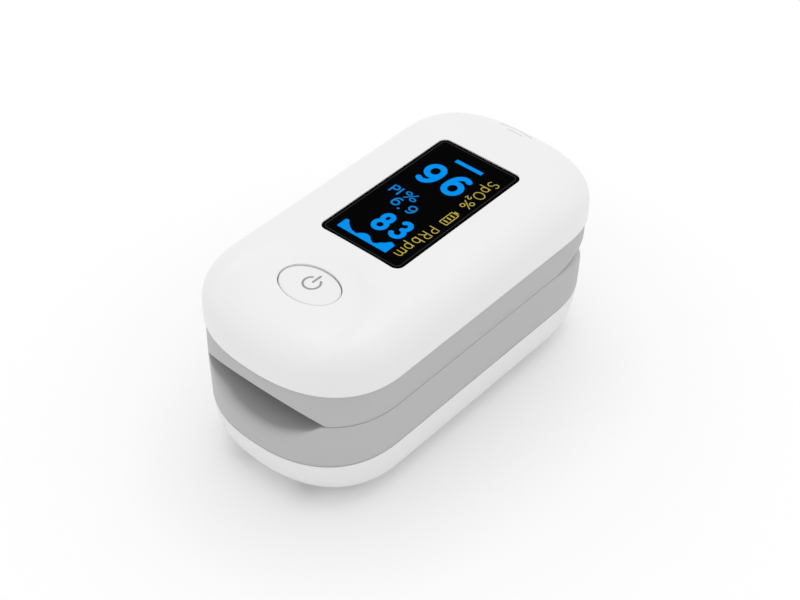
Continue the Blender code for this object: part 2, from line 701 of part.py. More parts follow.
def add_power_button(build, material):
    seat = (0.0, BUTTON_Y, BUTTON_BASE)
    rings = []
    for inset, z in ((0.0, BUTTON_BASE), (0.0, BUTTON_TOP - 0.35), (0.12, BUTTON_TOP - 0.12), (0.45,
                                                                                               BUTTON_TOP)):
        outline = ellipse(BUTTON_HALF_LONG - inset, BUTTON_HALF_SHORT - inset, BUTTON_Y)
        rings.append([(x, y, z) for x, y in outline])
    button = build.solid("power_button", loft(rings), material, seat)
    flange = ellipse(BUTTON_HALF_LONG + 0.8, BUTTON_HALF_SHORT + 0.8, BUTTON_Y)
    build.join(button, "flange", prism_z(flange, BUTTON_BASE, BUTTON_FLANGE_TOP))
    build.join(button, "stem", cylinder(1.4, (0.0, BUTTON_Y, BUTTON_STEM_END), (0.0, BUTTON_Y,
                                                                                BUTTON_BASE + 0.2)))


def add_switch(build, body_material, plunger_material):
    body = build.solid("tact_switch", box((-2.25, BUTTON_Y - 2.25, 26.3), (2.25, BUTTON_Y + 2.25, 27.7)),
                       body_material, PIVOT)
    build.cut(body, "plunger_hole", cylinder(1.05, (0.0, BUTTON_Y, 26.8), (0.0, BUTTON_Y, 28.5)))
    plunger = cylinder(0.9, (0.0, BUTTON_Y, 27.4), (0.0, BUTTON_Y, BUTTON_STEM_END - 0.1))
    build.solid("switch_plunger", plunger, plunger_material, (0.0, BUTTON_Y, 27.4))


def add_boards(build, board_material, chip_material, connector_material):
    outline = rounded_rectangle((-BOARD_HALF_WIDTH, BOARD_HALF_WIDTH), BOARD_Y, 6.0)
    build.solid("main_board", prism_z(outline, BOARD_BASE, BOARD_TOP), board_material, PIVOT)
    build.solid("processor_chip", box((-3.5, 1.0, 26.3), (3.5, 8.0, 27.1)), chip_material, PIVOT)
    build.solid("cable_connector", box((-3.0, 19.3, 24.1), (3.0, 21.9, 25.1)), connector_material, PIVOT)


def add_emitter(build, package_material, clear_material):
    package = box((-2.0, OPTIC_Y - 1.5, BOARD_BASE - 1.4), (2.0, OPTIC_Y + 1.5, BOARD_BASE - 0.1))
    build.solid("emitter_led", package, package_material, PIVOT)
    window = aperture(UPPER_ARC_Z + UPPER_ARC_RADIUS - 0.8, BOARD_BASE - 2.0, 0.2)
    build.solid("emitter_window", window, clear_material, PIVOT)


def add_upper_shell(build, material):
    shell = build.solid("upper_shell", slab(UPPER_SECTION), material, PIVOT)
    channel_y = (MOUTH_Y + LIP_THICKNESS, CHANNEL_END_Y)
    build.cut(shell, "channel", loft([upper_channel_section(y) for y in channel_y]))
    pocket_z = (UPPER_BASE + 1.5, UPPER_TOP + 0.7)
    pockets = [mirrored_boxes((12.4, 14.7), y_range, pocket_z) for y_range in ((-22.0, -15.0), (-9.0, 7.0))]
    build.cut(shell, "side_pockets", merged(pockets))
    below = SEAM_Z - 8.0
    well = box((-WELL_HALF_WIDTH, WELL_Y[0], below), (WELL_HALF_WIDTH, WELL_Y[1], WELL_CEILING))
    build.cut(shell, "hinge_well", well)
    lip_rise = 6.0 * math.tan(LIP_SLOPE)
    lip = ((MOUTH_Y, SEAM_Z), (MOUTH_Y, below), (MOUTH_Y - 6.0, below), (MOUTH_Y - 6.0, SEAM_Z + lip_rise))
    build.cut(shell, "mouth_bevel", prism_x(lip, 25.0))
    gap_rise = 20.0 * math.tan(GAP_SLOPE)
    gap = ((GAP_START_Y, HINGE_Z), (GAP_START_Y + 20.0, HINGE_Z + gap_rise),
           (GAP_START_Y + 20.0, below), (GAP_START_Y, below))
    build.cut(shell, "squeeze_gap", prism_x(gap, 25.0))
    ledge = UPPER_SCREW_Z + SCREW_HEAD_HEIGHT + 0.2
    recesses = [cylinder(SCREW_RECESS, (x, y, below), (x, y, ledge), 20) for x, y in UPPER_SCREWS]
    build.cut(shell, "screw_recesses", merged(recesses))
    holes = [cylinder(SCREW_HOLE, (x, y, ledge - 0.5), (x, y, UPPER_TOP + 1.0), 16) for x,
             y in UPPER_SCREWS]
    build.cut(shell, "screw_holes", merged(holes))
    add_ears(build, shell, UPPER_EAR_X, WELL_CEILING + 0.6)
    pegs = [cylinder(1.0, (x, y, UPPER_TOP - 0.5), (x, y, BOARD_BASE - 0.1), 16)
            for x in (-8.5, 8.5) for y in (-19.0, 18.0)]
    build.join(shell, "board_pegs", merged(pegs))
    build.cut(shell, "light_opening", aperture(SEAM_Z + 1.5, UPPER_TOP + 1.0))
    build.cut(shell, "cable_slot", cable_slot(WELL_CEILING - 1.0, UPPER_TOP + 1.0, 0.5))


def main():
    clear_scene()
    build = Builder()
    white = make_material("white_plastic", (0.82, 0.82, 0.82), 0.28)
    door_white = make_material("door_plastic", (0.80, 0.80, 0.80), 0.32)
    button_white = make_material("button_plastic", (0.78, 0.78, 0.78), 0.35)
    grey = make_material("grey_plastic", (0.46, 0.46, 0.46), 0.5)
    silicone = make_material("silicone", (0.13, 0.13, 0.14), 0.7)
    black_gloss = make_material("display_black", (0.01, 0.01, 0.012), 0.08)
    panel_dark = make_material("panel_glass", (0.03, 0.03, 0.04), 0.2)
    board_green = make_material("circuit_board", (0.02, 0.16, 0.07), 0.45)
    chip_black = make_material("chip_black", (0.03, 0.03, 0.03), 0.5)
    connector_cream = make_material("connector_plastic", (0.72, 0.68, 0.58), 0.5)
    clear = make_material("clear_plastic", (0.75, 0.78, 0.8), 0.05)
    led_cream = make_material("led_package", (0.8, 0.78, 0.7), 0.4)
    steel = make_material("steel", (0.6, 0.6, 0.62), 0.25, 1.0)
    spring_steel = make_material("spring_steel", (0.45, 0.45, 0.47), 0.35, 1.0)
    nickel = make_material("nickel_contact", (0.66, 0.63, 0.58), 0.3, 1.0)
    jacket = make_material("battery_jacket", (0.12, 0.2, 0.35), 0.4)
    polyimide = make_material("flat_cable_film", (0.55, 0.3, 0.05), 0.35)
    switch_metal = make_material("switch_body", (0.55, 0.55, 0.56), 0.35, 1.0)
    plunger_black = make_material("plunger_plastic", (0.05, 0.05, 0.05), 0.5)

    add_bottom_cover(build, white)
    add_battery_door(build, door_white)
    add_lower_shell(build, grey)
    add_finger_pad(build, "lower_finger_pad", silicone, LOWER_ARC_Z, LOWER_ARC_RADIUS, -1, (0.0, 0.0, 0.0))
    add_detector(build, board_green, chip_black, clear)
    add_cells(build, jacket)
    add_contacts(build, nickel)
    pin = cylinder(PIN_RADIUS, (-PIN_HALF_LENGTH, HINGE_Y, HINGE_Z), (PIN_HALF_LENGTH, HINGE_Y, HINGE_Z))
    build.solid("hinge_pin", pin, steel, PIVOT, smooth=False)
    add_torsion_springs(build, spring_steel)
    add_flat_cable(build, polyimide)
    for i, (x, y) in enumerate(LOWER_SCREWS, 1):
        add_screw(build, f"lower_screw_{i}", x, y, LOWER_SCREW_Z, LOWER_SCREW_LENGTH, steel)

    add_top_cover(build, white)
    add_display(build, black_gloss, panel_dark)
    add_upper_shell(build, grey)
    add_finger_pad(build, "upper_finger_pad", silicone, UPPER_ARC_Z, UPPER_ARC_RADIUS, 1, PIVOT)
    add_boards(build, board_green, chip_black, connector_cream)
    add_emitter(build, led_cream, clear)
    add_switch(build, switch_metal, plunger_black)
    add_power_button(build, button_white)
    for i, (x, y) in enumerate(UPPER_SCREWS, 1):
        add_screw(build, f"upper_screw_{i}", x, y, UPPER_SCREW_Z, UPPER_SCREW_LENGTH, steel)


main()
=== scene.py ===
"""Looks of the fingertip pulse oximeter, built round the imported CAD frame.

Metres, +Z up, finger mouth at -Y. Lengths are written in millimetres and become metres where a
mesh is made.
"""

import math

import bmesh
import bpy
from mathutils import Matrix, Vector


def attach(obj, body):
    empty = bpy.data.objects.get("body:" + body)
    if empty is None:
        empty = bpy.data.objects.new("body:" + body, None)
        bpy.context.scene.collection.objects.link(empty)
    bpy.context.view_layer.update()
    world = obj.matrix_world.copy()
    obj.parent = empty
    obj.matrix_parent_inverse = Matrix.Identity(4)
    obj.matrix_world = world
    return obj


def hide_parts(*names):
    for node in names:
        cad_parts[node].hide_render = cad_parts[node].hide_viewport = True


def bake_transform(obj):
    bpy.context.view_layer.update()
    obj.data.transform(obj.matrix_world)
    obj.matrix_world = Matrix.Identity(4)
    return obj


MM = 0.001

# Plan outline: straight sides with superelliptic ends.
FRONT_POWER = 2.35
REAR_POWER = 2.7
QUADRANT_STEPS = 36
SIDE_STEPS = 20

# Heights.
LOWER_BASE = 9.6
LOWER_TOP = 17.75
UPPER_BASE = 17.83
UPPER_TOP = 23.72
COVER_BASE = 23.8
COVER_WALL_TOP = 26.0
CREST = 32.0

# Housings: half widths, extra lengths and end shortfalls, each at the base and at the top.
LOWER_WIDTH = (15.97, 16.35)
LOWER_EXCESS = (16.53, 16.15)
LOWER_SHORTFALL = (1.5, 2.05)
UPPER_WIDTH = (16.35, 16.65)
UPPER_EXCESS = (16.15, 15.45)
UPPER_SHORTFALL = (2.05, 3.0)
COVER_HALF_WIDTH = 17.0
COVER_EXCESS = 15.3
COVER_SHORTFALL = 3.1
COVER_WALL = 1.6
SHOULDER_IN = 8.5
SHOULDER_RISE = 5.75
SHOULDER_BEND = 0.8
SHOULDER_STEPS = 18
TOP_RINGS = 26
CROWN = CREST - COVER_WALL_TOP - SHOULDER_RISE

# Thumb dish.
DISH_CENTRE_Y = -23.9
DISH_RADIUS = 12.2
DISH_EDGE = 2.4
DISH_DEPTH = 0.5

# Window and button.
WINDOW_HALF_WIDTH = 7.74
WINDOW_Y = (-9.45, 19.3)
WINDOW_BASE = 29.4
WINDOW_TOP = 31.76
WINDOW_CORNER = 1.3
WINDOW_GAP = 0.07
INK_LIFT = 0.004
INK_STEP = 0.0004
BUTTON_Y = -19.5
BUTTON_HALF_LONG = 5.14
BUTTON_HALF_SHORT = 3.64
BUTTON_TOP = 31.22
BUTTON_BASE = 29.0
BUTTON_GAP = 0.13
BUTTON_FLANGE = 0.8

# Finger channel and hinge.
CHANNEL_HALF_WIDTH = 11.0
CHANNEL_END_Y = 12.5
LOWER_ARC_RADIUS = 16.5
LOWER_ARC_Z = 30.0
UPPER_ARC_RADIUS = 16.22
UPPER_ARC_Z = 5.98
ARC_STEPS = 40
MOUTH_Y = -29.1
LIP_THICKNESS = 1.2
LIP_SLOPE = math.radians(50.0)
HINGE_Y = 17.2
HINGE_Z = 17.8
EAR_RADIUS = 1.9
PIN_BORE = 1.05
LOWER_EAR_X = (10.2, 11.8)
UPPER_EAR_X = (8.2, 9.8)
WELL_HALF_WIDTH = 12.4
WELL_Y = (13.6, 27.5)
WELL_FLOOR = 14.0
WELL_CEILING = 21.9
GAP_START_Y = 17.25
GAP_SLOPE = math.radians(14.0)
BAY_CEILING = 12.55
BAY_FRONT_Y = -25.9
BAY_REAR_Y = 24.0
BAY_RIB_HALF_WIDTH = 9.8
BAY_RIB_THICKNESS = 0.8
BAY_RIB_BASE = 5.6
BAY_OVERLAP = 0.4
OPENING_HALF_WIDTH = 2.5
OPENING_Y = (-4.0, 0.0)
CABLE_SLOT_Y = (19.9, 21.3)

# Rim of the lower housing.
RIM_EDGE = 0.14
RIM_STEPS = 10
RIM_REACH = 4.0
MOUTH_ROLL = 1.6
MOUTH_ROLL_WIDTH = 4.0
REAR_ROLL = 2.0
REAR_ROLL_LENGTH = 12.0
RIM_TAPER = 0.065
RIM_TAPER_FROM_X = 12.0
DECK_OVERLAP = 0.4

# Finger pads.
PAD_Y = (-24.5, 12.0)
PAD_GAP = 0.2
PAD_THICKNESS = 0.8
PAD_ANGLE = math.radians(31.0)
PAD_STATIONS = 120
PAD_STEPS = 36
PAD_EDGE = 0.5
PAD_RIB_HEIGHT = 0.10
PAD_RIB_PITCH = 2.4

# Springs and cable.
COIL_STEPS = 32
TORSION_START_X = 3.3
TORSION_PITCH = 0.72
TORSION_RADIUS = 1.7
TORSION_WIRE = 0.3
CONTACT_TURNS = 4
CONTACT_RADII = (3.6, 2.0)
CONTACT_CENTRE = (-5.45, -25.4, 6.95)
CONTACT_LENGTH = 2.7
CONTACT_WIRE = 0.25
CABLE_Y = 20.6
CABLE_HALF_WIDTH = 2.0
CABLE_STRIPS = 12

UPPER_SCREWS = ((-13.3, -12.0), (13.3, -12.0), (-13.3, 10.0), (13.3, 10.0))
LOWER_SCREWS = ((-6.0, -27.4), (6.0, -27.4))
SCREW_HOLE = 0.9
SCREW_RECESS = 1.65
SCREW_LEDGE = 3.9
SEAT_RADIUS = 2.0
SEAT_HEIGHTS = (3.4, 4.8)
BOSS_RADIUS = 1.6

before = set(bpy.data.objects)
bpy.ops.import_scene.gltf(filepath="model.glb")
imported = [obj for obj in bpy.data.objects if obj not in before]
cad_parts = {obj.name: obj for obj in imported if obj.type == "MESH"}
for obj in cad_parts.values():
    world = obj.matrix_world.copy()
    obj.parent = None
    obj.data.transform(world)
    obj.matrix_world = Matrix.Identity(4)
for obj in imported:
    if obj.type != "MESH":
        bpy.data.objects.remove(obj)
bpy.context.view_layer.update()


# ---------------- materials

def node_material(name):
    material = bpy.data.materials.new(name)
    material.use_nodes = True
    tree = material.node_tree
    return material, tree, tree.nodes["Principled BSDF"]


def object_coordinates(tree):
    return tree.nodes.new("ShaderNodeTexCoord").outputs["Object"]


def add_relief(tree, shader, height, strength, distance=0.00002):
    bump = tree.nodes.new("ShaderNodeBump")
    bump.inputs["Strength"].default_value = strength
    bump.inputs["Distance"].default_value = distance
    tree.links.new(height, bump.inputs["Height"])
    tree.links.new(bump.outputs["Normal"], shader.inputs["Normal"])


def noise(tree, scale, detail=3.0, coordinates=None):
    node = tree.nodes.new("ShaderNodeTexNoise")
    node.inputs["Scale"].default_value = scale
    node.inputs["Detail"].default_value = detail
    if coordinates is None:
        coordinates = object_coordinates(tree)
    tree.links.new(coordinates, node.inputs["Vector"])
    return node


def ramp(tree, source, low, high, out_low, out_high):
    node = tree.nodes.new("ShaderNodeMapRange")
    node.inputs["From Min"].default_value = low
    node.inputs["From Max"].default_value = high
    node.inputs["To Min"].default_value = out_low
    node.inputs["To Max"].default_value = out_high
    tree.links.new(source, node.inputs["Value"])
    return node.outputs["Result"]


def blend_colours(tree, factor, first, second):
    node = tree.nodes.new("ShaderNodeMix")
    node.data_type = "RGBA"
    tree.links.new(factor, node.inputs["Factor"])
    node.inputs[6].default_value = (*first, 1.0)
    node.inputs[7].default_value = (*second, 1.0)
    return node.outputs[2]


def moulded(name, colour, shade, roughness, grain=9000.0, bump=0.04, specular=0.5, coat=0.0):
    """Injection-moulded plastic: faint flow mottling, uneven gloss and a spark-eroded grain."""
    material, tree, shader = node_material(name)
    flow = noise(tree, 60.0, 4.0)
    fine = noise(tree, grain, 2.0, flow.inputs["Vector"].links[0].from_socket)
    darker = tuple(c * shade for c in colour)
    mottling = ramp(tree, flow.outputs["Fac"], 0.35, 0.65, 0.0, 1.0)
    tree.links.new(blend_colours(tree, mottling, darker, colour), shader.inputs["Base Color"])
    tree.links.new(ramp(tree, flow.outputs["Fac"], 0.3, 0.7, roughness * 0.9, roughness * 1.12),
                   shader.inputs["Roughness"])
    add_relief(tree, shader, fine.outputs["Fac"], bump)
    shader.inputs["Specular IOR Level"].default_value = specular
    shader.inputs["Coat Weight"].default_value = coat
    return material


def metal(name, colour, roughness, stretch=(1.0, 1.0, 1.0)):
    """Bare metal with drawn or ground lines along one axis."""
    material, tree, shader = node_material(name)
    mapping = tree.nodes.new("ShaderNodeMapping")
    mapping.inputs["Scale"].default_value = stretch
    tree.links.new(object_coordinates(tree), mapping.inputs["Vector"])
    lines = noise(tree, 4000.0, 3.0, mapping.outputs["Vector"])
    stain = noise(tree, 300.0, 4.0)
    darker = tuple(c * 0.82 for c in colour)
    tree.links.new(blend_colours(tree, ramp(tree, stain.outputs["Fac"], 0.35, 0.7, 0.0, 1.0), darker, colour),
                   shader.inputs["Base Color"])
    tree.links.new(ramp(tree, lines.outputs["Fac"], 0.3, 0.7, roughness * 0.75, roughness * 1.3),
                   shader.inputs["Roughness"])
    add_relief(tree, shader, lines.outputs["Fac"], 0.12)
    shader.inputs["Metallic"].default_value = 1.0
    return material


def lit(name, colour, strength=1.0):
    """Display pixels that glow, with a fine dot structure."""
    material, tree, shader = node_material(name)
    dots = tree.nodes.new("ShaderNodeTexVoronoi")
    dots.inputs["Scale"].default_value = 5200.0
    dots.inputs["Randomness"].default_value = 0.0
    tree.links.new(object_coordinates(tree), dots.inputs["Vector"])
    dim = tuple(c * 0.9 for c in colour)
    tree.links.new(blend_colours(tree, ramp(tree, dots.outputs["Distance"], 0.2, 0.7, 0.0, 1.0), colour, dim),
                   shader.inputs["Emission Color"])
    shader.inputs["Base Color"].default_value = (0.0, 0.0, 0.0, 1.0)
    shader.inputs["Specular IOR Level"].default_value = 0.0
    shader.inputs["Emission Strength"].default_value = strength
    return material


def board_material():
    """Solder mask over copper tracks."""
    material, tree, shader = node_material("solder_mask")
    coordinates = object_coordinates(tree)
    tracks = tree.nodes.new("ShaderNodeTexBrick")
    tracks.inputs["Scale"].default_value = 320.0
    tracks.inputs["Mortar Size"].default_value = 0.035
    tracks.inputs["Color1"].default_value = (0.006, 0.10, 0.035, 1.0)
    tracks.inputs["Color2"].default_value = (0.008, 0.12, 0.045, 1.0)
    tracks.inputs["Mortar"].default_value = (0.03, 0.26, 0.10, 1.0)
    tree.links.new(coordinates, tracks.inputs["Vector"])
    tree.links.new(tracks.outputs["Color"], shader.inputs["Base Color"])
    patches = noise(tree, 500.0, 3.0, coordinates)
    tree.links.new(ramp(tree, patches.outputs["Fac"], 0.3, 0.7, 0.28, 0.42), shader.inputs["Roughness"])
    add_relief(tree, shader, tracks.outputs["Fac"], 0.3, 0.00003)
    return material


def battery_material():
    """Printed film: a dark body and a copper-coloured band near the stud."""
    material, tree, shader = node_material("cell_film")
    coordinates = object_coordinates(tree)
    split = tree.nodes.new("ShaderNodeSeparateXYZ")
    tree.links.new(coordinates, split.inputs["Vector"])
    band = ramp(tree, split.outputs["Y"], 0.0088, 0.0090, 0.0, 1.0)
    film = blend_colours(tree, band, (0.012, 0.02, 0.045), (0.52, 0.24, 0.09))
    tree.links.new(film, shader.inputs["Base Color"])
    scuffs = noise(tree, 900.0, 4.0, coordinates)
    tree.links.new(ramp(tree, scuffs.outputs["Fac"], 0.3, 0.7, 0.22, 0.36), shader.inputs["Roughness"])
    shader.inputs["Metallic"].default_value = 0.6
    return material


def clear_material():
    material, tree, shader = node_material("clear_polycarbonate")
    haze = noise(tree, 1500.0, 3.0)
    tree.links.new(ramp(tree, haze.outputs["Fac"], 0.3, 0.7, 0.04, 0.12), shader.inputs["Roughness"])
    tree.links.new(blend_colours(tree, haze.outputs["Fac"], (0.86, 0.90, 0.92), (0.95, 0.97, 0.98)),
                   shader.inputs["Base Color"])
    shader.inputs["Transmission Weight"].default_value = 0.9
    shader.inputs["IOR"].default_value = 1.58
    return material


WHITE = moulded("white_gloss", (0.80, 0.80, 0.80), 0.985, 0.34, 7000.0, 0.03, 0.45)
BELLY_WHITE = moulded("white_satin", (0.78, 0.78, 0.78), 0.985, 0.42, 7000.0, 0.05, 0.45)
BUTTON_WHITE = moulded("button_satin", (0.79, 0.79, 0.79), 0.985, 0.40, 8000.0, 0.05, 0.45)
GREY = moulded("grey_satin", (0.465, 0.465, 0.465), 0.975, 0.52, 5000.0, 0.10, 0.4)
SILICONE = moulded("grey_silicone", (0.46, 0.46, 0.465), 0.94, 0.62, 2600.0, 0.35, 0.35)
MARK_GREY = moulded("mark_ink", (0.30, 0.30, 0.30), 0.95, 0.55, 9000.0, 0.05, 0.3)
GLASS_BLACK = moulded("window_black", (0.0019, 0.0019, 0.0022), 0.8, 0.12, 9000.0, 0.01, 0.0)
BORDER_GREY = moulded("window_border", (0.018, 0.018, 0.02), 0.85, 0.4, 9000.0, 0.02, 0.05)
PANEL = moulded("panel_glass", (0.01, 0.01, 0.014), 0.8, 0.15, 5000.0, 0.02, 0.4)
CHIP = moulded("chip_epoxy", (0.02, 0.02, 0.021), 0.8, 0.6, 6000.0, 0.4, 0.35)
CREAM = moulded("nylon_cream", (0.62, 0.56, 0.44), 0.93, 0.5, 5000.0, 0.15, 0.4)
FILM = moulded("polyimide", (0.42, 0.16, 0.02), 0.88, 0.28, 3000.0, 0.05, 0.5)
PLUNGER = moulded("plunger_nylon", (0.02, 0.02, 0.022), 0.85, 0.45, 5000.0, 0.15, 0.4)
STEEL = metal("ground_steel", (0.56, 0.56, 0.57), 0.24, (0.08, 1.0, 1.0))
SPRING_STEEL = metal("spring_wire", (0.36, 0.36, 0.37), 0.3)
NICKEL = metal("nickel_plate", (0.62, 0.58, 0.52), 0.22)
STAMPED = metal("stamped_steel", (0.5, 0.5, 0.51), 0.32)
BOARD = board_material()
CELL = battery_material()
CLEAR = clear_material()
BLUE = lit("pixels_blue", (0.0015, 0.30, 0.93))
THIN_BLUE = lit("pixels_thin_blue", (0.008, 0.22, 0.66))
YELLOW = lit("pixels_yellow", (0.55, 0.43, 0.075))


# ---------------- mesh tools, sizes in millimetres

def box(low, high):
    bm = bmesh.new()
    size = [b - a for a, b in zip(low, high)]
    centre = [(a + b) / 2 for a, b in zip(low, high)]
    matrix = Matrix.Translation(Vector(centre) * MM) @ Matrix.Diagonal((*[s * MM for s in size], 1.0))
    bmesh.ops.create_cube(bm, size=1.0, matrix=matrix)
    return bm


def cylinder(radius, start, end, steps=48):
    a = Vector(start) * MM
    b = Vector(end) * MM
    turn = (b - a).to_track_quat("Z", "Y").to_matrix().to_4x4()
    bm = bmesh.new()
    bmesh.ops.create_cone(bm, cap_ends=True, segments=steps, radius1=radius * MM, radius2=radius * MM,
                          depth=(b - a).length, matrix=Matrix.Translation((a + b) / 2) @ turn)
    return bm


def mirrored_boxes(x_range, y_range, z_range):
    x0, x1 = x_range
    return merged([box((x0, y_range[0], z_range[0]), (x1, y_range[1], z_range[1])),
                   box((-x1, y_range[0], z_range[0]), (-x0, y_range[1], z_range[1]))])


def merged(shapes):
    result = bmesh.new()
    for shape in shapes:
        mesh = bpy.data.meshes.new("shape")
        shape.to_mesh(mesh)
        shape.free()
        result.from_mesh(mesh)
        bpy.data.meshes.remove(mesh)
    return result


def loft(rings, closed_loop=False):
    bm = bmesh.new()
    levels = [[bm.verts.new(Vector(point) * MM) for point in ring] for ring in rings]
    pairs = list(zip(levels, levels[1:]))
    if closed_loop:
        pairs.append((levels[-1], levels[0]))
    for first, second in pairs:
        count = len(first)
        for i in range(count):
            j = (i + 1) % count
            bm.faces.new((first[i], first[j], second[j], second[i]))
    if not closed_loop:
        bm.faces.new(list(reversed(levels[0])))
        bm.faces.new(levels[-1])
    return bm


def end_cap(half_width, straight, end, power):
    """Quarter of the plan outline, from the tip of one end round to the straight side."""
    points = []
    for i in range(QUADRANT_STEPS + 1):
        angle = 0.5 * math.pi * i / QUADRANT_STEPS
        x = half_width * max(math.sin(angle), 0.0) ** (2.0 / power)
        points.append((x, straight + end * max(math.cos(angle), 0.0) ** (2.0 / power)))
    return points


def plan_points(half_width, excess, shortfall):
    end = half_width - shortfall
    straight = half_width + excess - end
    sides = [(half_width, straight - 2.0 * straight * i / SIDE_STEPS) for i in range(1, SIDE_STEPS)]
    rear = end_cap(half_width, straight, end, REAR_POWER)
    front = end_cap(half_width, straight, end, FRONT_POWER)
    right = rear + sides + [(x, -y) for x, y in reversed(front)]
    return right + [(-x, y) for x, y in reversed(right[1:-1])]


def plan_ring(half_width, excess, shortfall, z):
    return [(x, y, z) for x, y in plan_points(half_width, excess, shortfall)]


def prism_x(points, half_length):
    return loft([[(x, y, z) for y, z in points] for x in (-half_length, half_length)])


def prism_z(points, base, top):
    return loft([[(x, y, z) for x, y in points] for z in (base, top)])


def rounded_rectangle(x_range, y_range, radius, steps=10):
    (x0, x1), (y0, y1) = x_range, y_range
    corners = ((x1 - radius, y1 - radius, 0), (x0 + radius, y1 - radius, 90),
               (x0 + radius, y0 + radius, 180), (x1 - radius, y0 + radius, 270))
    points = []
    for cx, cy, start in corners:
        for i in range(steps + 1):
            angle = math.radians(start + 90.0 * i / steps)
            points.append((cx + radius * math.cos(angle), cy + radius * math.sin(angle)))
    return points


def ellipse(half_x, half_y, centre_y, steps=96):
    turn = 2.0 * math.pi / steps
    return [(half_x * math.cos(i * turn), centre_y + half_y * math.sin(i * turn)) for i in range(steps)]


def make_object(name, bm, material, smooth_angle=32.0):
    bmesh.ops.recalc_face_normals(bm, faces=bm.faces)
    mesh = bpy.data.meshes.new(name)
    bm.to_mesh(mesh)
    bm.free()
    obj = bpy.data.objects.new(name, mesh)
    bpy.context.scene.collection.objects.link(obj)
    mesh.materials.append(material)
    shade(obj, smooth_angle)
    return obj


def shade(obj, smooth_angle):
    for polygon in obj.data.polygons:
        polygon.use_smooth = True
    obj.data.set_sharp_from_angle(angle=math.radians(smooth_angle))


def bake_modifiers(obj, smooth_angle=32.0):
    """Turns what the modifiers make into the object's own mesh."""
    bpy.context.view_layer.update()
    evaluated = obj.evaluated_get(bpy.context.evaluated_depsgraph_get())
    mesh = bpy.data.meshes.new_from_object(evaluated)
    old = obj.data
    obj.modifiers.clear()
    obj.data = mesh
    mesh.name = obj.name
    bpy.data.meshes.remove(old)
    shade(obj, smooth_angle)


def combine(obj, steps, smooth_angle=32.0):
    """Applies a list of (operation, shape) booleans in order."""
    tools = []
    for operation, shape in steps:
        bmesh.ops.recalc_face_normals(shape, faces=shape.faces)
        mesh = bpy.data.meshes.new("tool")
        shape.to_mesh(mesh)
        shape.free()
        tool = bpy.data.objects.new("tool", mesh)
        bpy.context.scene.collection.objects.link(tool)
        modifier = obj.modifiers.new("step", "BOOLEAN")
        modifier.operation = operation
        modifier.solver = "EXACT"
        modifier.object = tool
        tools.append(tool)
    bake_modifiers(obj, smooth_angle)
    for tool in tools:
        bpy.data.objects.remove(tool, do_unlink=True)


def soften(obj, width, segments=2, angle=40.0):
    bevel = obj.modifiers.new("edge", "BEVEL")
    bevel.width = width * MM
    bevel.segments = segments
    bevel.limit_method = "ANGLE"
    bevel.angle_limit = math.radians(angle)
    bevel.use_clamp_overlap = True


def describe(obj, slot, *nodes):
    """Hides the CAD nodes that a piece stands for."""
    if nodes:
        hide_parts(*nodes)
    return obj


def place(obj, body, slot, *nodes):
    """Puts a finished piece on its body."""
    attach(obj, body)
    return describe(obj, slot, *nodes)


# ---------------- top cover

def dish_depth(x, y):
    distance = math.hypot(x, y - DISH_CENTRE_Y)
    share = min(max((DISH_RADIUS - distance) / DISH_EDGE, 0.0), 1.0)
    return DISH_DEPTH * share * share * (3.0 - 2.0 * share)


def cover_rings(half_width, wall_top, rise, shoulder, dished, lip):
    rings = [plan_ring(half_width - inset, COVER_EXCESS, COVER_SHORTFALL, z) for inset, z in lip]
    rings += [plan_ring(half_width, COVER_EXCESS, COVER_SHORTFALL, wall_top)]
    for i in range(1, SHOULDER_STEPS + 1):
        angle = 0.5 * math.pi * i / SHOULDER_STEPS
        inset = shoulder * (1.0 - math.cos(angle) ** SHOULDER_BEND)
        height = wall_top + rise * math.sin(angle) ** SHOULDER_BEND
        rings.append(plan_ring(half_width - inset, COVER_EXCESS, COVER_SHORTFALL, height))
    edge = rings[-1]
    top = wall_top + rise
    for i in range(1, TOP_RINGS + 1):
        scale = 1.0 - 0.9 * i / TOP_RINGS
        rings.append([(x * scale, y * scale, top + CROWN * (1.0 - scale * scale)) for x, y, z in edge])
    if dished:
        start = len(lip) + 1
        rings[start:] = [[(x, y, z - dish_depth(x, y)) for x, y, z in ring] for ring in rings[start:]]
    return rings


def window_outline(margin):
    return rounded_rectangle((-WINDOW_HALF_WIDTH - margin, WINDOW_HALF_WIDTH + margin),
                             (WINDOW_Y[0] - margin, WINDOW_Y[1] + margin), WINDOW_CORNER + margin)


def arc_band(centre_x, half_width, crown_y, drop, thickness, base, top, steps=28):
    """Curved bar used to engrave one grip line: an arc that bulges towards the rear."""
    radius = (half_width ** 2 + drop ** 2) / (2.0 * drop)
    limit = math.asin(half_width / radius)
    outline = []
    for r, order in ((radius + thickness / 2, 1.0), (radius - thickness / 2, -1.0)):
        for i in range(steps + 1):
            angle = order * limit * (2.0 * i / steps - 1.0)
            outline.append((centre_x + r * math.sin(angle), crown_y - radius + r * math.cos(angle)))
    return prism_z(outline, base, top)


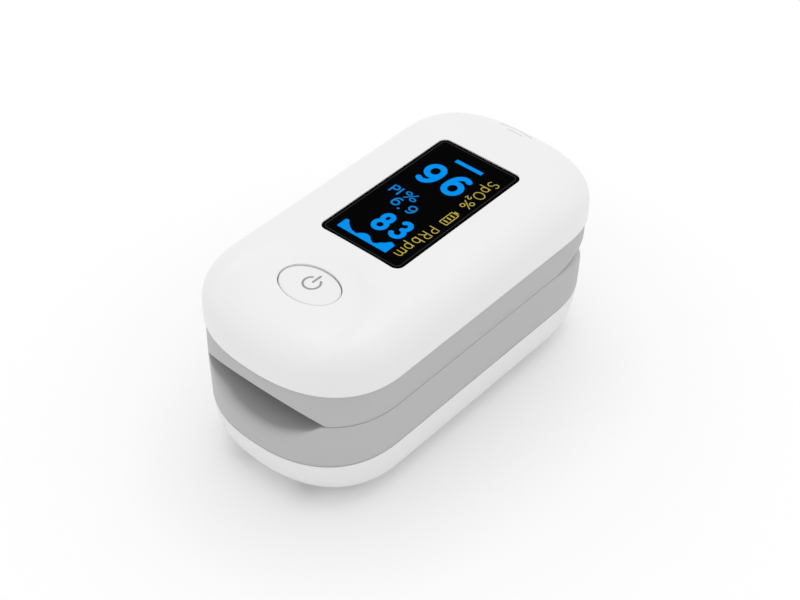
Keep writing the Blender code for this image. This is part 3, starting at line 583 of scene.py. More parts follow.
def build_top_cover():
    lip = ((0.32, COVER_BASE), (0.12, COVER_BASE + 0.06), (0.03, COVER_BASE + 0.2), (0.0, COVER_BASE + 0.5))
    outside = cover_rings(COVER_HALF_WIDTH, COVER_WALL_TOP, SHOULDER_RISE, SHOULDER_IN, True, lip)
    inner_lip = ((0.0, COVER_BASE),)
    inside = cover_rings(COVER_HALF_WIDTH - COVER_WALL, COVER_WALL_TOP, SHOULDER_RISE - COVER_WALL,
                         SHOULDER_IN - COVER_WALL, False, inner_lip)
    cover = make_object("cover_skin", loft(list(reversed(inside)) + outside), WHITE)
    hole = ellipse(BUTTON_HALF_LONG + BUTTON_GAP, BUTTON_HALF_SHORT + BUTTON_GAP, BUTTON_Y)
    combine(cover, (
        ("DIFFERENCE", prism_z(window_outline(WINDOW_GAP), 27.0, 34.0)),
        ("DIFFERENCE", prism_z(hole, 27.0, 34.0)),
        ("DIFFERENCE", arc_band(-1.2, 3.1, 29.6, 0.55, 0.2, 30.56, 33.0)),
        ("DIFFERENCE", arc_band(-0.8, 1.5, 28.3, 0.16, 0.18, 31.08, 33.0)),
    ))
    return place(cover, "upper_jaw", "white_plastic", "top_cover")


# ---------------- window, readout and button

def build_window():
    rings = []
    for inset, z in ((0.0, WINDOW_BASE), (0.0, WINDOW_TOP - 0.16), (0.05, WINDOW_TOP - 0.05),
                     (0.16, WINDOW_TOP)):
        rings.append([(x, y, z) for x, y in window_outline(-inset)])
    glass = make_object("display_glass", loft(rings), GLASS_BLACK)
    return place(glass, "upper_jaw", "display_black", "display_window")


class Strokes:
    """Flat ribbons on the display, each a hair above the last so that none share a plane."""

    def __init__(self, height):
        self.bm = bmesh.new()
        self.height = height

    def ribbon(self, points, width, closed=False):
        points = [Vector((x, y, 0.0)) for x, y in points]
        count = len(points)
        left, right = [], []
        for i, point in enumerate(points):
            before = points[i - 1] if (i > 0 or closed) else point
            after = points[(i + 1) % count] if (i < count - 1 or closed) else point
            along = (after - before).normalized()
            side = Vector((-along.y, along.x, 0.0)) * (width / 2)
            left.append(self.vertex(point + side))
            right.append(self.vertex(point - side))
        for i in range(count if closed else count - 1):
            j = (i + 1) % count
            self.bm.faces.new((left[i], right[i], right[j], left[j]))
        if not closed:
            self.cap(points[0], points[0] - points[1], right[0], left[0], width)
            self.cap(points[-1], points[-1] - points[-2], left[-1], right[-1], width)
        self.height += INK_STEP

    def cap(self, centre, outward, first, last, width, steps=6):
        """Half disc that rounds a ribbon's end."""
        outward = outward.normalized()
        side = Vector((-outward.y, outward.x, 0.0))
        rim = []
        for i in range(1, steps):
            angle = math.pi * i / steps
            spoke = outward * math.sin(angle) - side * math.cos(angle)
            rim.append(self.vertex(centre + spoke * (width / 2)))
        start = min((first, last), key=lambda v: (v.co - rim[0].co).length)
        end = last if start is first else first
        self.bm.faces.new([start] + rim + [end])

    def polygon(self, points):
        self.bm.faces.new([self.vertex(Vector((x, y, 0.0))) for x, y in points])
        self.height += INK_STEP

    def vertex(self, point):
        return self.bm.verts.new(Vector((point.x, point.y, self.height)) * MM)


def arc(cx, cy, rx, ry, start, end, steps=20):
    return [(cx + rx * math.cos(math.radians(start + (end - start) * i / steps)),
             cy + ry * math.sin(math.radians(start + (end - start) * i / steps))) for i in range(steps + 1)]


def loop(cx, cy, rx, ry, steps=32):
    return arc(cx, cy, rx, ry, 0.0, 360.0, steps)[:-1]


P_STROKE = ([(0.15, 0.0), (0.15, 1.0), (0.50, 1.0)] + arc(0.50, 0.73, 0.36, 0.27, 80.0, -90.0)
            + [(0.15, 0.46)], False)
SMALL_BOWL = (loop(0.52, 0.34, 0.36, 0.35), True)
NINE = [(loop(0.5, 0.68, 0.40, 0.30), True),
        ([(0.90, 0.68)] + arc(0.40, 0.55, 0.50, 0.53, 6.0, -118.0)[1:], False)]
SIX = [([(1.0 - x, 1.0 - y) for x, y in points], closed) for points, closed in NINE]
GLYPHS = {
    "9": NINE,
    "6": SIX,
    "8": [(loop(0.5, 0.75, 0.33, 0.24), True), (loop(0.5, 0.27, 0.42, 0.26), True)],
    "3": [(arc(0.42, 0.76, 0.36, 0.23, 140.0, -85.0), False),
          (arc(0.42, 0.27, 0.44, 0.26, 85.0, -150.0), False)],
    "2": [(arc(0.5, 0.70, 0.40, 0.29, 165.0, -25.0) + [(0.12, 0.02), (0.92, 0.02)], False)],
    ".": [([(0.47, 0.03), (0.53, 0.03)], False)],
    "%": [(loop(0.24, 0.76, 0.19, 0.20), True), (loop(0.78, 0.24, 0.19, 0.20), True),
          ([(0.80, 1.0), (0.22, 0.0)], False)],
    "I": [([(0.5, 0.0), (0.5, 1.0)], False)],
    "P": [P_STROKE],
    "R": [P_STROKE, ([(0.52, 0.45), (0.88, 0.0)], False)],
    "S": [(arc(0.5, 0.76, 0.34, 0.24, 40.0, 250.0) + arc(0.5, 0.26, 0.37, 0.26, 80.0, -145.0), False)],
    "O": [(loop(0.5, 0.5, 0.46, 0.50), True)],
    "p": [([(0.15, -0.38), (0.15, 0.70)], False), SMALL_BOWL],
    "b": [([(0.15, 0.0), (0.15, 1.0)], False), SMALL_BOWL],
    "m": [([(0.08, 0.0), (0.08, 0.68)], False),
          ([(0.08, 0.40)] + arc(0.29, 0.42, 0.21, 0.27, 170.0, 0.0) + [(0.50, 0.0)], False),
          ([(0.50, 0.40)] + arc(0.71, 0.42, 0.21, 0.27, 170.0, 0.0) + [(0.92, 0.0)], False)],
}


def draw_glyph(strokes, letter, origin, along, size, weight):
    """One character: origin is its lower left, along the reading direction, size its (width, height)."""
    ax, ay = along
    up = (-ay, ax)
    for points, closed in GLYPHS[letter]:
        placed = []
        for u, v in points:
            u, v = u * size[0], v * size[1]
            placed.append((origin[0] + u * ax + v * up[0], origin[1] + u * ay + v * up[1]))
        strokes.ribbon(placed, weight, closed)


READ_ACROSS = (1.0, 0.0)
READ_DOWN = (0.0, -1.0)


# Characters of the readout: letter, lower left corner, size (width, height) and line weight.
LARGE_DIGITS = (
    ("9", (-4.85, 8.8), (3.2, 4.5), 1.0),
    ("6", (-0.25, 8.9), (3.2, 4.5), 1.0),
    ("8", (-2.25, -4.25), (2.25, 3.7), 0.84),
    ("3", (1.2, -4.05), (2.1, 3.7), 0.84),
)
SMALL_CHARACTERS = (
    ("P", (-5.75, 3.75), (1.45, 1.6), 0.32),
    ("I", (-4.4, 3.75), (0.8, 1.6), 0.32),
    ("%", (-3.25, 3.85), (2.5, 1.65), 0.24),
    ("6", (-3.6, 1.55), (1.5, 1.8), 0.3),
    (".", (-2.0, 1.3), (0.8, 1.0), 0.38),
    ("9", (-0.6, 1.45), (1.5, 1.8), 0.3),
)

# Yellow labels read down the window's edge: letter, its start along Y and its width.
LABEL_X = 4.63
LABEL_HEIGHT = 1.8
LABEL_WEIGHT = 0.165
LABEL_LETTERS = (("S", 15.65, 1.35), ("p", 14.0, 1.3), ("O", 12.4, 1.6), ("%", 9.8, 2.0), ("P", 1.5, 1.3),
                 ("R", -0.1, 1.35), ("b", -1.85, 1.3), ("p", -3.55, 1.3), ("m", -5.1, 1.8))
CELL_LINE = 0.17
CELL_BAR = 0.26

# Pulse wave: its flat base and the crest line above it.
WAVE_BASE_Y = -7.59
WAVE_CREST = ((-5.72, -5.59), (-5.22, -5.44), (-4.67, -6.09), (-3.87, -6.69), (-3.17, -6.99),
              (-2.37, -7.09), (-1.97, -6.64), (-1.47, -6.29), (-0.97, -6.14), (-0.37, -6.29),
              (0.23, -6.79), (0.93, -7.14), (1.33, -6.89), (1.73, -6.34), (2.23, -5.99),
              (2.63, -5.39), (2.93, -5.19), (3.33, -5.34), (3.73, -5.54))


def finish_strokes(strokes, name, material):
    piece = make_object(name, strokes.bm, material)
    place(piece, "upper_jaw", "display_black")


def build_readout():
    digits = Strokes(WINDOW_TOP + INK_LIFT)
    for letter, origin, size, weight in LARGE_DIGITS:
        draw_glyph(digits, letter, origin, READ_ACROSS, size, weight)
    digits.polygon(((-2.62, 15.6), (2.55, 15.6), (2.55, 16.35), (-2.62, 16.35)))
    wave = [(WAVE_CREST[0][0], WAVE_BASE_Y), *WAVE_CREST, (WAVE_CREST[-1][0], WAVE_BASE_Y)]
    digits.polygon(list(reversed(wave)))
    finish_strokes(digits, "readout_blue", BLUE)

    small = Strokes(WINDOW_TOP + INK_LIFT)
    for letter, origin, size, weight in SMALL_CHARACTERS:
        draw_glyph(small, letter, origin, READ_ACROSS, size, weight)
    finish_strokes(small, "readout_thin_blue", THIN_BLUE)

    label = Strokes(WINDOW_TOP + INK_LIFT)
    for letter, y, width in LABEL_LETTERS:
        draw_glyph(label, letter, (LABEL_X, y), READ_DOWN, (width, LABEL_HEIGHT), LABEL_WEIGHT)
    draw_glyph(label, "2", (LABEL_X - 0.45, 10.6), READ_DOWN, (0.7, 0.85), CELL_LINE)
    label.ribbon(rounded_rectangle((4.98, 6.33), (3.0, 5.85), 0.08, 2), CELL_LINE, True)
    label.ribbon([(5.38, 6.15), (5.93, 6.15)], CELL_BAR)
    for y in (3.65, 4.4, 5.15):
        label.ribbon([(5.33, y), (5.98, y)], CELL_BAR)
    finish_strokes(label, "readout_yellow", YELLOW)

    border = Strokes(WINDOW_TOP + INK_LIFT / 2)
    border.ribbon(window_outline(-0.55), 0.14, True)
    finish_strokes(border, "window_border_line", BORDER_GREY)


def build_button():
    rings = []
    for inset, z in ((0.0, BUTTON_BASE), (0.0, BUTTON_TOP - 0.3), (0.03, BUTTON_TOP - 0.16),
                     (0.1, BUTTON_TOP - 0.06), (0.22, BUTTON_TOP), (0.6, BUTTON_TOP + 0.03),
                     (1.2, BUTTON_TOP + 0.06), (2.0, BUTTON_TOP + 0.08), (2.8, BUTTON_TOP + 0.09)):
        outline = ellipse(BUTTON_HALF_LONG - inset, BUTTON_HALF_SHORT - inset, BUTTON_Y)
        rings.append([(x, y, z) for x, y in outline])
    cap = make_object("button_cap", loft(rings), BUTTON_WHITE)
    flange_outline = ellipse(BUTTON_HALF_LONG + BUTTON_FLANGE, BUTTON_HALF_SHORT + BUTTON_FLANGE, BUTTON_Y)
    flange = prism_z(flange_outline, BUTTON_BASE, 29.6)
    stem = cylinder(1.4, (0.0, BUTTON_Y, 28.4), (0.0, BUTTON_Y, BUTTON_BASE + 0.2))
    combine(cap, (("UNION", flange), ("UNION", stem)))
    place(cap, "power_button", "button_plastic", "power_button")

    mark = Strokes(BUTTON_TOP + 0.1)
    centre_y = BUTTON_Y + 0.45
    mark.ribbon(arc(0.0, centre_y, 1.3, 1.3, 128.0, 412.0, 40), 0.34)
    mark.ribbon([(0.0, centre_y + 0.25), (0.0, centre_y + 1.85)], 0.34)
    sign = make_object("power_mark", mark.bm, MARK_GREY)
    place(sign, "power_button", "button_plastic")


# ---------------- grey housings

def hinge_cylinder(radius, side, inner_x, outer_x):
    return cylinder(radius, (side * inner_x, HINGE_Y, HINGE_Z), (side * outer_x, HINGE_Y, HINGE_Z))


def ear_steps(x_range, root_z):
    low, high = min(root_z, HINGE_Z), max(root_z, HINGE_Z)
    webs = mirrored_boxes(x_range, (HINGE_Y - EAR_RADIUS + 0.01, HINGE_Y + EAR_RADIUS - 0.01), (low, high))
    eyes = merged([hinge_cylinder(EAR_RADIUS, side, *x_range) for side in (-1, 1)])
    bores = merged([hinge_cylinder(PIN_BORE, side, x_range[0] - 0.3, x_range[1] + 0.3) for side in (-1, 1)])
    return [("UNION", webs), ("UNION", eyes), ("DIFFERENCE", bores)]


def channel_section(y, radius, centre_z, direction, half_width, reach_z):
    limit = math.asin(half_width / radius)
    points = []
    for i in range(ARC_STEPS + 1):
        angle = limit * (2.0 * i / ARC_STEPS - 1.0)
        points.append((radius * math.sin(angle), y, centre_z + direction * radius * math.cos(angle)))
    return points + [(half_width, y, reach_z), (-half_width, y, reach_z)]


def light_opening(base, top):
    return box((-OPENING_HALF_WIDTH, OPENING_Y[0], base), (OPENING_HALF_WIDTH, OPENING_Y[1], top))


def cable_slot(base, top):
    return box((-OPENING_HALF_WIDTH, CABLE_SLOT_Y[0], base), (OPENING_HALF_WIDTH, CABLE_SLOT_Y[1], top))


def between(pair, share):
    return pair[0] + share * (pair[1] - pair[0])


def channel(y_range, radius, centre_z, direction, reach_z):
    """Finger channel: a shallow arc swept along Y, open towards the other jaw."""
    return loft([channel_section(y, radius, centre_z, direction, CHANNEL_HALF_WIDTH, reach_z)
                 for y in y_range])


def screw_bores(radius, places, base, top):
    return merged([cylinder(radius, (x, y, base), (x, y, top)) for x, y in places])


def build_upper_housing():
    rings = []
    for rise, inset in ((0.0, 0.14), (0.04, 0.05), (0.12, 0.0), (5.65, 0.0), (5.8, 0.04), (5.89, 0.14)):
        share = rise / (UPPER_TOP - UPPER_BASE)
        width, excess, shortfall = (between(pair, share)
                                    for pair in (UPPER_WIDTH, UPPER_EXCESS, UPPER_SHORTFALL))
        rings.append(plan_ring(width - inset, excess, shortfall, UPPER_BASE + rise))
    shell = make_object("upper_housing", loft(rings), GREY)
    hollow = channel((MOUTH_Y + LIP_THICKNESS, CHANNEL_END_Y), UPPER_ARC_RADIUS, UPPER_ARC_Z, 1.0,
                     UPPER_BASE - 3.0)
    well = box((-WELL_HALF_WIDTH, WELL_Y[0], 10.0), (WELL_HALF_WIDTH, WELL_Y[1], WELL_CEILING))
    lip_rise = 6.0 * math.tan(LIP_SLOPE)
    lip = ((MOUTH_Y, HINGE_Z), (MOUTH_Y, 10.0), (MOUTH_Y - 6.0, 10.0), (MOUTH_Y - 6.0, HINGE_Z + lip_rise))
    gap_rise = 20.0 * math.tan(GAP_SLOPE)
    gap = ((GAP_START_Y, HINGE_Z), (GAP_START_Y + 20.0, HINGE_Z + gap_rise),
           (GAP_START_Y + 20.0, 10.0), (GAP_START_Y, 10.0))
    steps = [("DIFFERENCE", hollow), ("DIFFERENCE", well), ("DIFFERENCE", prism_x(lip, 25.0)),
             ("DIFFERENCE", prism_x(gap, 25.0)),
             ("DIFFERENCE", screw_bores(SCREW_RECESS, UPPER_SCREWS, 16.0, 19.6)),
             ("DIFFERENCE", screw_bores(SCREW_HOLE, UPPER_SCREWS, 19.0, 25.0))]
    steps += ear_steps(UPPER_EAR_X, WELL_CEILING + 0.6)
    steps += [("DIFFERENCE", light_opening(19.0, 25.0)), ("DIFFERENCE", cable_slot(20.0, 25.0))]
    combine(shell, steps)
    return place(shell, "upper_jaw", "grey_plastic", "upper_shell")


REAR_DROP = ((17.25, 0.0), (21.0, 0.2), (25.0, 0.7), (28.5, 1.4), (30.5, 2.0), (32.6, 2.9))


def interpolate(table, value):
    if value <= table[0][0]:
        return table[0][1]
    for (a, fa), (b, fb) in zip(table, table[1:]):
        if value <= b:
            return fa + (fb - fa) * (value - a) / (b - a)
    return table[-1][1]


def rim_height(x, y):
    """Top of the lower housing's rim: flat along the sides, scooped at the mouth, falling at the rear."""
    if y < 0.0 and abs(x) < CHANNEL_HALF_WIDTH:
        return min(LOWER_TOP, LOWER_ARC_Z - math.sqrt(LOWER_ARC_RADIUS ** 2 - x * x))
    return LOWER_TOP - interpolate(REAR_DROP, y)


def rim_radius(x, y):
    """How softly the rim rolls over."""
    if y < 0.0:
        share = min(max((CHANNEL_HALF_WIDTH - abs(x)) / MOUTH_ROLL_WIDTH, 0.0), 1.0)
        return RIM_EDGE + MOUTH_ROLL * share * share * (3.0 - 2.0 * share)
    share = min(max((y - GAP_START_Y) / REAR_ROLL_LENGTH, 0.0), 1.0)
    return RIM_EDGE + REAR_ROLL * share


def lower_outline(z, inset):
    share = (z - LOWER_BASE) / (LOWER_TOP - LOWER_BASE)
    width, excess, shortfall = (between(pair, share)
                                for pair in (LOWER_WIDTH, LOWER_EXCESS, LOWER_SHORTFALL))
    return plan_points(width - inset, excess, shortfall)


def rim_ring(rise, inset_share, extra_inset, sink):
    """Ring that follows the rim: rise and inset_share place it on the rolled edge."""
    flat = lower_outline(LOWER_TOP, 0.0)
    deep = lower_outline(LOWER_TOP, RIM_REACH)
    ring = []
    for (x0, y0), (x1, y1) in zip(flat, deep):
        radius = rim_radius(x0, y0)
        inset = radius * inset_share + extra_inset
        x = x0 + (x1 - x0) * inset / RIM_REACH
        y = y0 + (y1 - y0) * inset / RIM_REACH
        taper = (LOWER_TOP - rim_height(x0, y0) + radius) * RIM_TAPER * (1.0 - inset_share)
        if abs(x) > RIM_TAPER_FROM_X:
            x -= math.copysign(taper, x)
        height = rim_height(x, y if y > 0.0 else y0) - radius * (1.0 - rise) - sink
        ring.append((x, y, height))
    return ring


def deck_ring(z):
    """Outline that sits just inside the rolled rim."""
    ring = []
    for (x0, y0), (x1, y1) in zip(lower_outline(LOWER_TOP, 0.0), lower_outline(LOWER_TOP, RIM_REACH)):
        share = (rim_radius(x0, y0) + DECK_OVERLAP) / RIM_REACH
        ring.append((x0 + (x1 - x0) * share, y0 + (y1 - y0) * share, z))
    return ring


def deck_shape():
    """Floor of the lower jaw with the finger channel, hinge well and falling rear cut out."""
    deck = make_object("deck", loft([deck_ring(z) for z in (BAY_CEILING, LOWER_TOP)]), GREY)
    hollow = channel((-40.0, CHANNEL_END_Y), LOWER_ARC_RADIUS, LOWER_ARC_Z, -1.0, LOWER_TOP + 3.0)
    well = box((-WELL_HALF_WIDTH, WELL_Y[0], WELL_FLOOR), (WELL_HALF_WIDTH, WELL_Y[1], 30.0))
    rear = [(y, LOWER_TOP + 0.01 - drop) for y, drop in REAR_DROP]
    rear += [(36.0, 13.0), (36.0, 24.0), (GAP_START_Y, 24.0)]
    combine(deck, [("DIFFERENCE", hollow), ("DIFFERENCE", well), ("DIFFERENCE", prism_x(rear, 25.0))])
    shape = bmesh.new()
    shape.from_mesh(deck.data)
    bpy.data.objects.remove(deck, do_unlink=True)
    return shape


def build_lower_housing():
    rim = []
    for z, inset in ((LOWER_BASE, 0.22), (LOWER_BASE + 0.05, 0.08), (LOWER_BASE + 0.22, 0.0), (10.8, 0.0)):
        rim.append([(x, y, z) for x, y in lower_outline(z, inset)])
    for i in range(RIM_STEPS + 1):
        angle = 0.5 * math.pi * i / RIM_STEPS
        rim.append(rim_ring(math.sin(angle), 1.0 - math.cos(angle), 0.0, 0.0))
    rim.append(rim_ring(1.0, 1.0, 0.6, 0.02))
    rim.append([(x, y, 11.2) for x, y in lower_outline(LOWER_TOP, 3.1)])
    rim.append([(x, y, LOWER_BASE) for x, y in lower_outline(LOWER_BASE, 1.6)])
    shell = make_object("lower_housing", loft(rim, closed_loop=True), GREY)

    rib, top = BAY_RIB_HALF_WIDTH, BAY_CEILING + BAY_OVERLAP
    ribs = merged([box((-rib, y, BAY_RIB_BASE), (rib, y + BAY_RIB_THICKNESS, top))
                   for y in (BAY_FRONT_Y - BAY_RIB_THICKNESS, BAY_REAR_Y)])
    steps = [("UNION", deck_shape()), ("UNION", ribs),
             ("UNION", screw_bores(BOSS_RADIUS, LOWER_SCREWS, 5.1, top)),
             ("DIFFERENCE", screw_bores(SCREW_HOLE, LOWER_SCREWS, 4.0, 11.8))]
    steps += ear_steps(LOWER_EAR_X, WELL_FLOOR - 0.6)
    steps += [("DIFFERENCE", light_opening(11.5, 16.0)), ("DIFFERENCE", cable_slot(11.5, 15.0))]
    combine(shell, steps)
    return place(shell, "lower_jaw", "grey_plastic", "lower_shell")


# ---------------- white bottom

BELLY_OUTSIDE = ((9.4, 15.75), (9.36, 15.89), (9.2, 15.94), (6.0, 15.6), (5.3, 15.49), (4.6, 15.35),
                 (4.0, 15.2), (3.5, 15.0), (2.9, 14.65), (2.4, 14.22), (1.9, 13.7), (1.4, 13.08), (1.0, 12.5),
                 (0.6, 11.85), (0.32, 11.3), (0.12, 10.75), (0.03, 10.35), (0.0, 9.95))
BELLY_INSIDE = ((9.4, 14.45), (6.2, 14.1), (5.0, 13.85), (4.25, 13.45), (3.4, 12.75),
                (2.46, 11.64), (1.9, 10.8), (1.5, 9.4))
BELLY_EXCESS = ((0.0, 13.6), (0.6, 14.0), (1.4, 14.4), (2.4, 15.05), (3.5, 15.65), (4.6, 16.1), (6.0, 16.45),
                (9.4, 16.5))
BELLY_SHORTFALL = 1.5
DOOR_HALF_WIDTH = 10.9
DOOR_FRONT_Y = -23.9
DOOR_TOP = 9.3
DOOR_GAP = 0.12
RAIL_X = (10.0, DOOR_HALF_WIDTH)
RAIL_Y = (-20.0, 12.5)
RAIL_HEIGHTS = (1.0, 3.9)
RAIL_LIP_X = (10.4, 11.9)
RAIL_LIP_HEIGHTS = (3.1, 3.7)
GROOVE_COUNT = 6
GROOVE_HALF_WIDTH = 6.0
GROOVE_PITCH = 1.5
GROOVE_Y = (16.2, 16.9)


def belly_shape():
    sections = list(reversed(BELLY_INSIDE)) + list(BELLY_OUTSIDE)
    return loft([plan_ring(width, interpolate(BELLY_EXCESS, z), BELLY_SHORTFALL, z)
                 for z, width in sections])


def build_belly():
    shell = make_object("belly_shell", belly_shape(), BELLY_WHITE)
    steps = []
    for x, y in LOWER_SCREWS:
        steps += [("UNION", cylinder(SEAT_RADIUS, (x, y, SEAT_HEIGHTS[0]), (x, y, SEAT_HEIGHTS[1]))),
                  ("DIFFERENCE", cylinder(SCREW_RECESS, (x, y, -1.0), (x, y, SCREW_LEDGE))),
                  ("DIFFERENCE", cylinder(SCREW_HOLE, (x, y, 3.0), (x, y, 6.0)))]
    reach = DOOR_HALF_WIDTH + DOOR_GAP
    steps.append(("DIFFERENCE", box((-reach, DOOR_FRONT_Y - DOOR_GAP, -1.0), (reach, 40.0, 12.0))))
    combine(shell, steps)
    place(shell, "lower_jaw", "white_plastic", "bottom_cover")

    door = make_object("door_panel", belly_shape(), BELLY_WHITE)
    keep = box((-DOOR_HALF_WIDTH, DOOR_FRONT_Y, -1.0), (DOOR_HALF_WIDTH, 40.0, DOOR_TOP))
    grooves = []
    for i in range(GROOVE_COUNT):
        span = tuple(y + GROOVE_PITCH * i for y in GROOVE_Y)
        outline = rounded_rectangle((-GROOVE_HALF_WIDTH, GROOVE_HALF_WIDTH), span, 0.34, 6)
        grooves.append(prism_z(outline, -1.0, 0.35))
    arrow = prism_z(((-2.0, 13.0), (2.0, 13.0), (0.0, 15.2)), -1.0, 0.2)
    combine(door, [("INTERSECT", keep), ("UNION", mirrored_boxes(RAIL_X, RAIL_Y, RAIL_HEIGHTS)),
                   ("UNION", mirrored_boxes(RAIL_LIP_X, RAIL_Y, RAIL_LIP_HEIGHTS)),
                   ("DIFFERENCE", merged(grooves)), ("DIFFERENCE", arrow)])
    place(door, "battery_door", "door_plastic", "battery_door")


# ---------------- soft pads, springs and cable

def pad_thickness(y):
    """Thickness along the pad: rolled ends, and cross ribs away from the light opening."""
    edge = min(y - PAD_Y[0], PAD_Y[1] - y) / PAD_EDGE
    roll = math.sqrt(max(0.0, 1.0 - (1.0 - min(edge, 1.0)) ** 2))
    rib = 0.0
    if abs(y + 2.0) > 4.5:
        rib = PAD_RIB_HEIGHT * max(0.0, math.sin(2.0 * math.pi * y / PAD_RIB_PITCH))
    return PAD_THICKNESS * (0.25 + 0.75 * roll) - 0.1 + rib


def pad_section(y, outer, centre_z, direction):
    section = []
    for r, inner in ((outer, False), (outer - pad_thickness(y), True)):
        for i in range(PAD_STEPS + 1):
            share = 2.0 * i / PAD_STEPS - 1.0
            trim = 0.02 if inner else 0.0
            fall = 0.35 * max(0.0, (abs(share) - 0.88) / 0.12) ** 2 if inner else 0.0
            angle = (-1.0 if inner else 1.0) * (PAD_ANGLE - trim) * share
            reach = r + fall
            section.append((reach * math.sin(angle), y, centre_z + direction * reach * math.cos(angle)))
    return section


def build_pad(name, node, centre_z, radius, direction, body):
    """Silicone liner: a curved sheet with rolled edges, low cross ribs and a light opening."""
    y0, y1 = PAD_Y
    stations = [y0 + (y1 - y0) * i / PAD_STATIONS for i in range(PAD_STATIONS + 1)]
    rings = [pad_section(y, radius - PAD_GAP, centre_z, direction) for y in stations]
    pad = make_object(name, loft(rings), SILICONE)
    middle = centre_z + direction * radius
    combine(pad, [("DIFFERENCE", light_opening(middle - 3.0, middle + 3.0))])
    place(pad, body, "silicone", node)


def wire(name, points, radius, material, sides=12):
    """Tube along a path, turned into a mesh."""
    curve = bpy.data.curves.new(name, "CURVE")
    curve.dimensions = "3D"
    curve.bevel_depth = radius * MM
    curve.bevel_resolution = sides // 4
    curve.use_fill_caps = True
    spline = curve.splines.new("POLY")
    spline.points.add(len(points) - 1)
    for target, point in zip(spline.points, points):
        target.co = (*[value * MM for value in point], 1.0)
    source = bpy.data.objects.new("path", curve)
    bpy.context.scene.collection.objects.link(source)
    bpy.context.view_layer.update()
    mesh = bpy.data.meshes.new_from_object(source.evaluated_get(bpy.context.evaluated_depsgraph_get()))
    bpy.data.objects.remove(source, do_unlink=True)
    bm = bmesh.new()
    bm.from_mesh(mesh)
    bpy.data.meshes.remove(mesh)
    bmesh.ops.remove_doubles(bm, verts=bm.verts, dist=0.000001)
    return make_object(name, bm, material, 60.0)


def rounded_path(points, fillet=0.8, steps=6):
    """Polyline with each inner corner rounded."""
    points = [Vector(p) for p in points]
    result = [points[0]]
    for before, corner, after in zip(points, points[1:], points[2:]):
        a = corner + (before - corner).normalized() * min(fillet, (before - corner).length / 2)
        b = corner + (after - corner).normalized() * min(fillet, (after - corner).length / 2)
        for i in range(steps + 1):
            t = i / steps
            result.append((1 - t) ** 2 * a + 2 * t * (1 - t) * corner + t * t * b)
    return result + [points[-1]]


def build_torsion_spring(name, node, side):
    """Coil round the hinge pin with a leg into each jaw."""
    points = [(side * TORSION_START_X, 25.0, 14.5), (side * TORSION_START_X, 20.2, 15.8)]
    count = COIL_STEPS * 4 - COIL_STEPS // 2
    for i in range(count + 1):
        angle = -0.5 * math.pi - 2.0 * math.pi * i / COIL_STEPS
        x = side * (TORSION_START_X + TORSION_PITCH * i / COIL_STEPS)
        points.append((x, HINGE_Y + TORSION_RADIUS * math.cos(angle),
                       HINGE_Z + TORSION_RADIUS * math.sin(angle)))
    last = side * (TORSION_START_X + TORSION_PITCH * count / COIL_STEPS)
    points += [(last, 20.2, 19.8), (last, 25.0, 21.4)]
    coil = wire(name, points, TORSION_WIRE, SPRING_STEEL)
    describe(coil, "spring_steel", node)
    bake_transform(coil)


def build_contact_coil():
    """Tapering coil that presses on the cell's flat end."""
    x, y, z = CONTACT_CENTRE
    wide, narrow = CONTACT_RADII
    count = COIL_STEPS * CONTACT_TURNS
    points = []
    for i in range(count + 1):
        share = i / count
        radius = wide - (wide - narrow) * share
        angle = 2.0 * math.pi * CONTACT_TURNS * share
        points.append((x + radius * math.cos(angle), y + CONTACT_LENGTH * share,
                       z + radius * math.sin(angle)))
    coil = wire("contact_coil", points, CONTACT_WIRE, NICKEL)
    place(coil, "lower_jaw", "nickel_contact", "battery_spring_negative")


def build_flat_cable():
    """Ribbon from the lower board across the hinge to the upper board."""
    route = rounded_path([(0.0, CABLE_Y, 12.4), (0.0, CABLE_Y, 15.0), (0.0, CABLE_Y - 0.5, HINGE_Z),
                          (0.0, CABLE_Y, 21.0), (0.0, CABLE_Y, 23.9)], 1.4, 8)
    half = 0.1
    outline = [(p.y - half, p.z) for p in route] + [(p.y + half, p.z) for p in reversed(route)]
    stations = [CABLE_HALF_WIDTH * (2.0 * i / CABLE_STRIPS - 1.0) for i in range(CABLE_STRIPS + 1)]
    ribbon = make_object("flat_cable_ribbon", loft([[(x, y, z) for y, z in outline] for x in stations]),
                         FILM, 60.0)
    describe(ribbon, "flat_cable_film", "flat_cable")
    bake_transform(ribbon)


# ---------------- carried-over CAD nodes

def dress_nodes():
    finishes = {
        "battery_left": (CELL, 0.0), "battery_right": (CELL, 0.0),
        "battery_plate_positive": (NICKEL, 0.08), "battery_bridge": (NICKEL, 0.08),
        "hinge_pin": (STEEL, 0.12), "detector_board": (BOARD, 0.04), "main_board": (BOARD, 0.06),
        "photodiode": (CHIP, 0.08), "processor_chip": (CHIP, 0.08), "cable_connector": (CREAM, 0.1),
        "emitter_led": (CREAM, 0.1), "detector_window": (CLEAR, 0.1), "emitter_window": (CLEAR, 0.1),
        "tact_switch": (STAMPED, 0.1), "switch_plunger": (PLUNGER, 0.1), "display_panel": (PANEL, 0.1),
    }
    for i in range(1, 3):
        finishes[f"lower_screw_{i}"] = (STEEL, 0.1)
    for i in range(1, 5):
        finishes[f"upper_screw_{i}"] = (STEEL, 0.1)
    for name, (material, edge) in finishes.items():
        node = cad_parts[name]
        for slot_index in range(len(node.material_slots)):
            node.material_slots[slot_index].material = material
        if edge:
            soften(node, edge)


# ---------------- stage, light and camera

def build_stage():
    bm = bmesh.new()
    bmesh.ops.create_grid(bm, x_segments=8, y_segments=8, size=3.0)
    floor = make_object("floor", bm, floor_material())


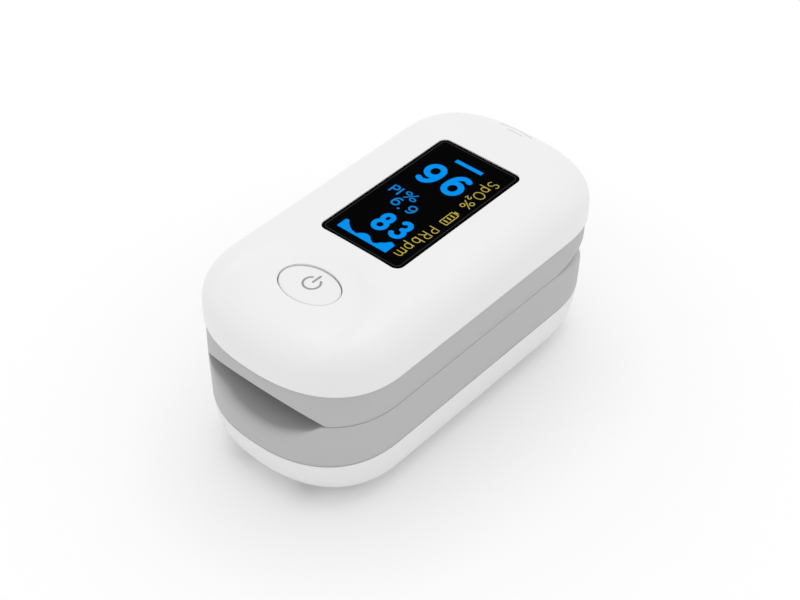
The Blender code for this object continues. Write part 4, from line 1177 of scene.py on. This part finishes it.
def floor_material():
    material, tree, shader = node_material("studio_floor")
    cloud = noise(tree, 3.0, 2.0)
    tree.links.new(blend_colours(tree, cloud.outputs["Fac"], (0.93, 0.93, 0.93), (0.95, 0.95, 0.95)),
                   shader.inputs["Base Color"])
    shader.inputs["Roughness"].default_value = 0.9
    shader.inputs["Specular IOR Level"].default_value = 0.0
    return material


def area_light(name, location, target, size, power):
    data = bpy.data.lights.new(name, "AREA")
    data.shape = "DISK"
    data.size = size
    data.energy = power
    light = bpy.data.objects.new(name, data)
    light.location = location
    light.rotation_euler = (Vector(target) - Vector(location)).to_track_quat("-Z", "Y").to_euler()
    bpy.context.scene.collection.objects.link(light)


def build_light():
    world = bpy.data.worlds.new("studio")
    bpy.context.scene.world = world
    world.use_nodes = True
    background = world.node_tree.nodes["Background"]
    background.inputs["Color"].default_value = (1.0, 1.0, 1.0, 1.0)
    background.inputs["Strength"].default_value = 0.93
    area_light("key", (-0.06, 0.12, 0.62), (0.0, 0.0, 0.01), 0.6, 0.75)
    bpy.context.scene.view_settings.view_transform = "Standard"


def build_camera():
    azimuth = math.radians(40.793)
    elevation = math.radians(41.517)
    roll = math.radians(0.461)
    distance = 0.270743
    back = Vector((math.sin(azimuth) * math.cos(elevation), -math.cos(azimuth) * math.cos(elevation),
                   math.sin(elevation)))
    right = Vector((math.cos(azimuth), math.sin(azimuth), 0.0))
    up = back.cross(right)
    across = right * math.cos(roll) + up * math.sin(roll)
    upward = up * math.cos(roll) - right * math.sin(roll)
    place_at = Vector((0.0, 0.0, 0.016)) + back * distance
    camera = bpy.data.objects.new("camera", bpy.data.cameras.new("camera"))
    rotation = Matrix((across, upward, back)).transposed().to_4x4()
    camera.matrix_world = Matrix.Translation(place_at) @ rotation
    camera.data.lens = 79.53
    camera.data.sensor_width = 36.0
    camera.data.shift_x = 0.00033
    camera.data.shift_y = -0.0036
    camera.data.clip_start = 0.01
    bpy.context.scene.collection.objects.link(camera)
    bpy.context.scene.camera = camera


build_camera()
build_top_cover()
build_window()
build_readout()
build_button()
build_upper_housing()
build_lower_housing()
build_belly()
build_pad("upper_pad_liner", "upper_finger_pad", UPPER_ARC_Z, UPPER_ARC_RADIUS, 1.0, "upper_jaw")
build_pad("lower_pad_liner", "lower_finger_pad", LOWER_ARC_Z, LOWER_ARC_RADIUS, -1.0, "lower_jaw")
build_torsion_spring("torsion_coil_left", "torsion_spring_left", -1)
build_torsion_spring("torsion_coil_right", "torsion_spring_right", 1)
build_contact_coil()
build_flat_cable()
dress_nodes()
build_stage()
build_light()
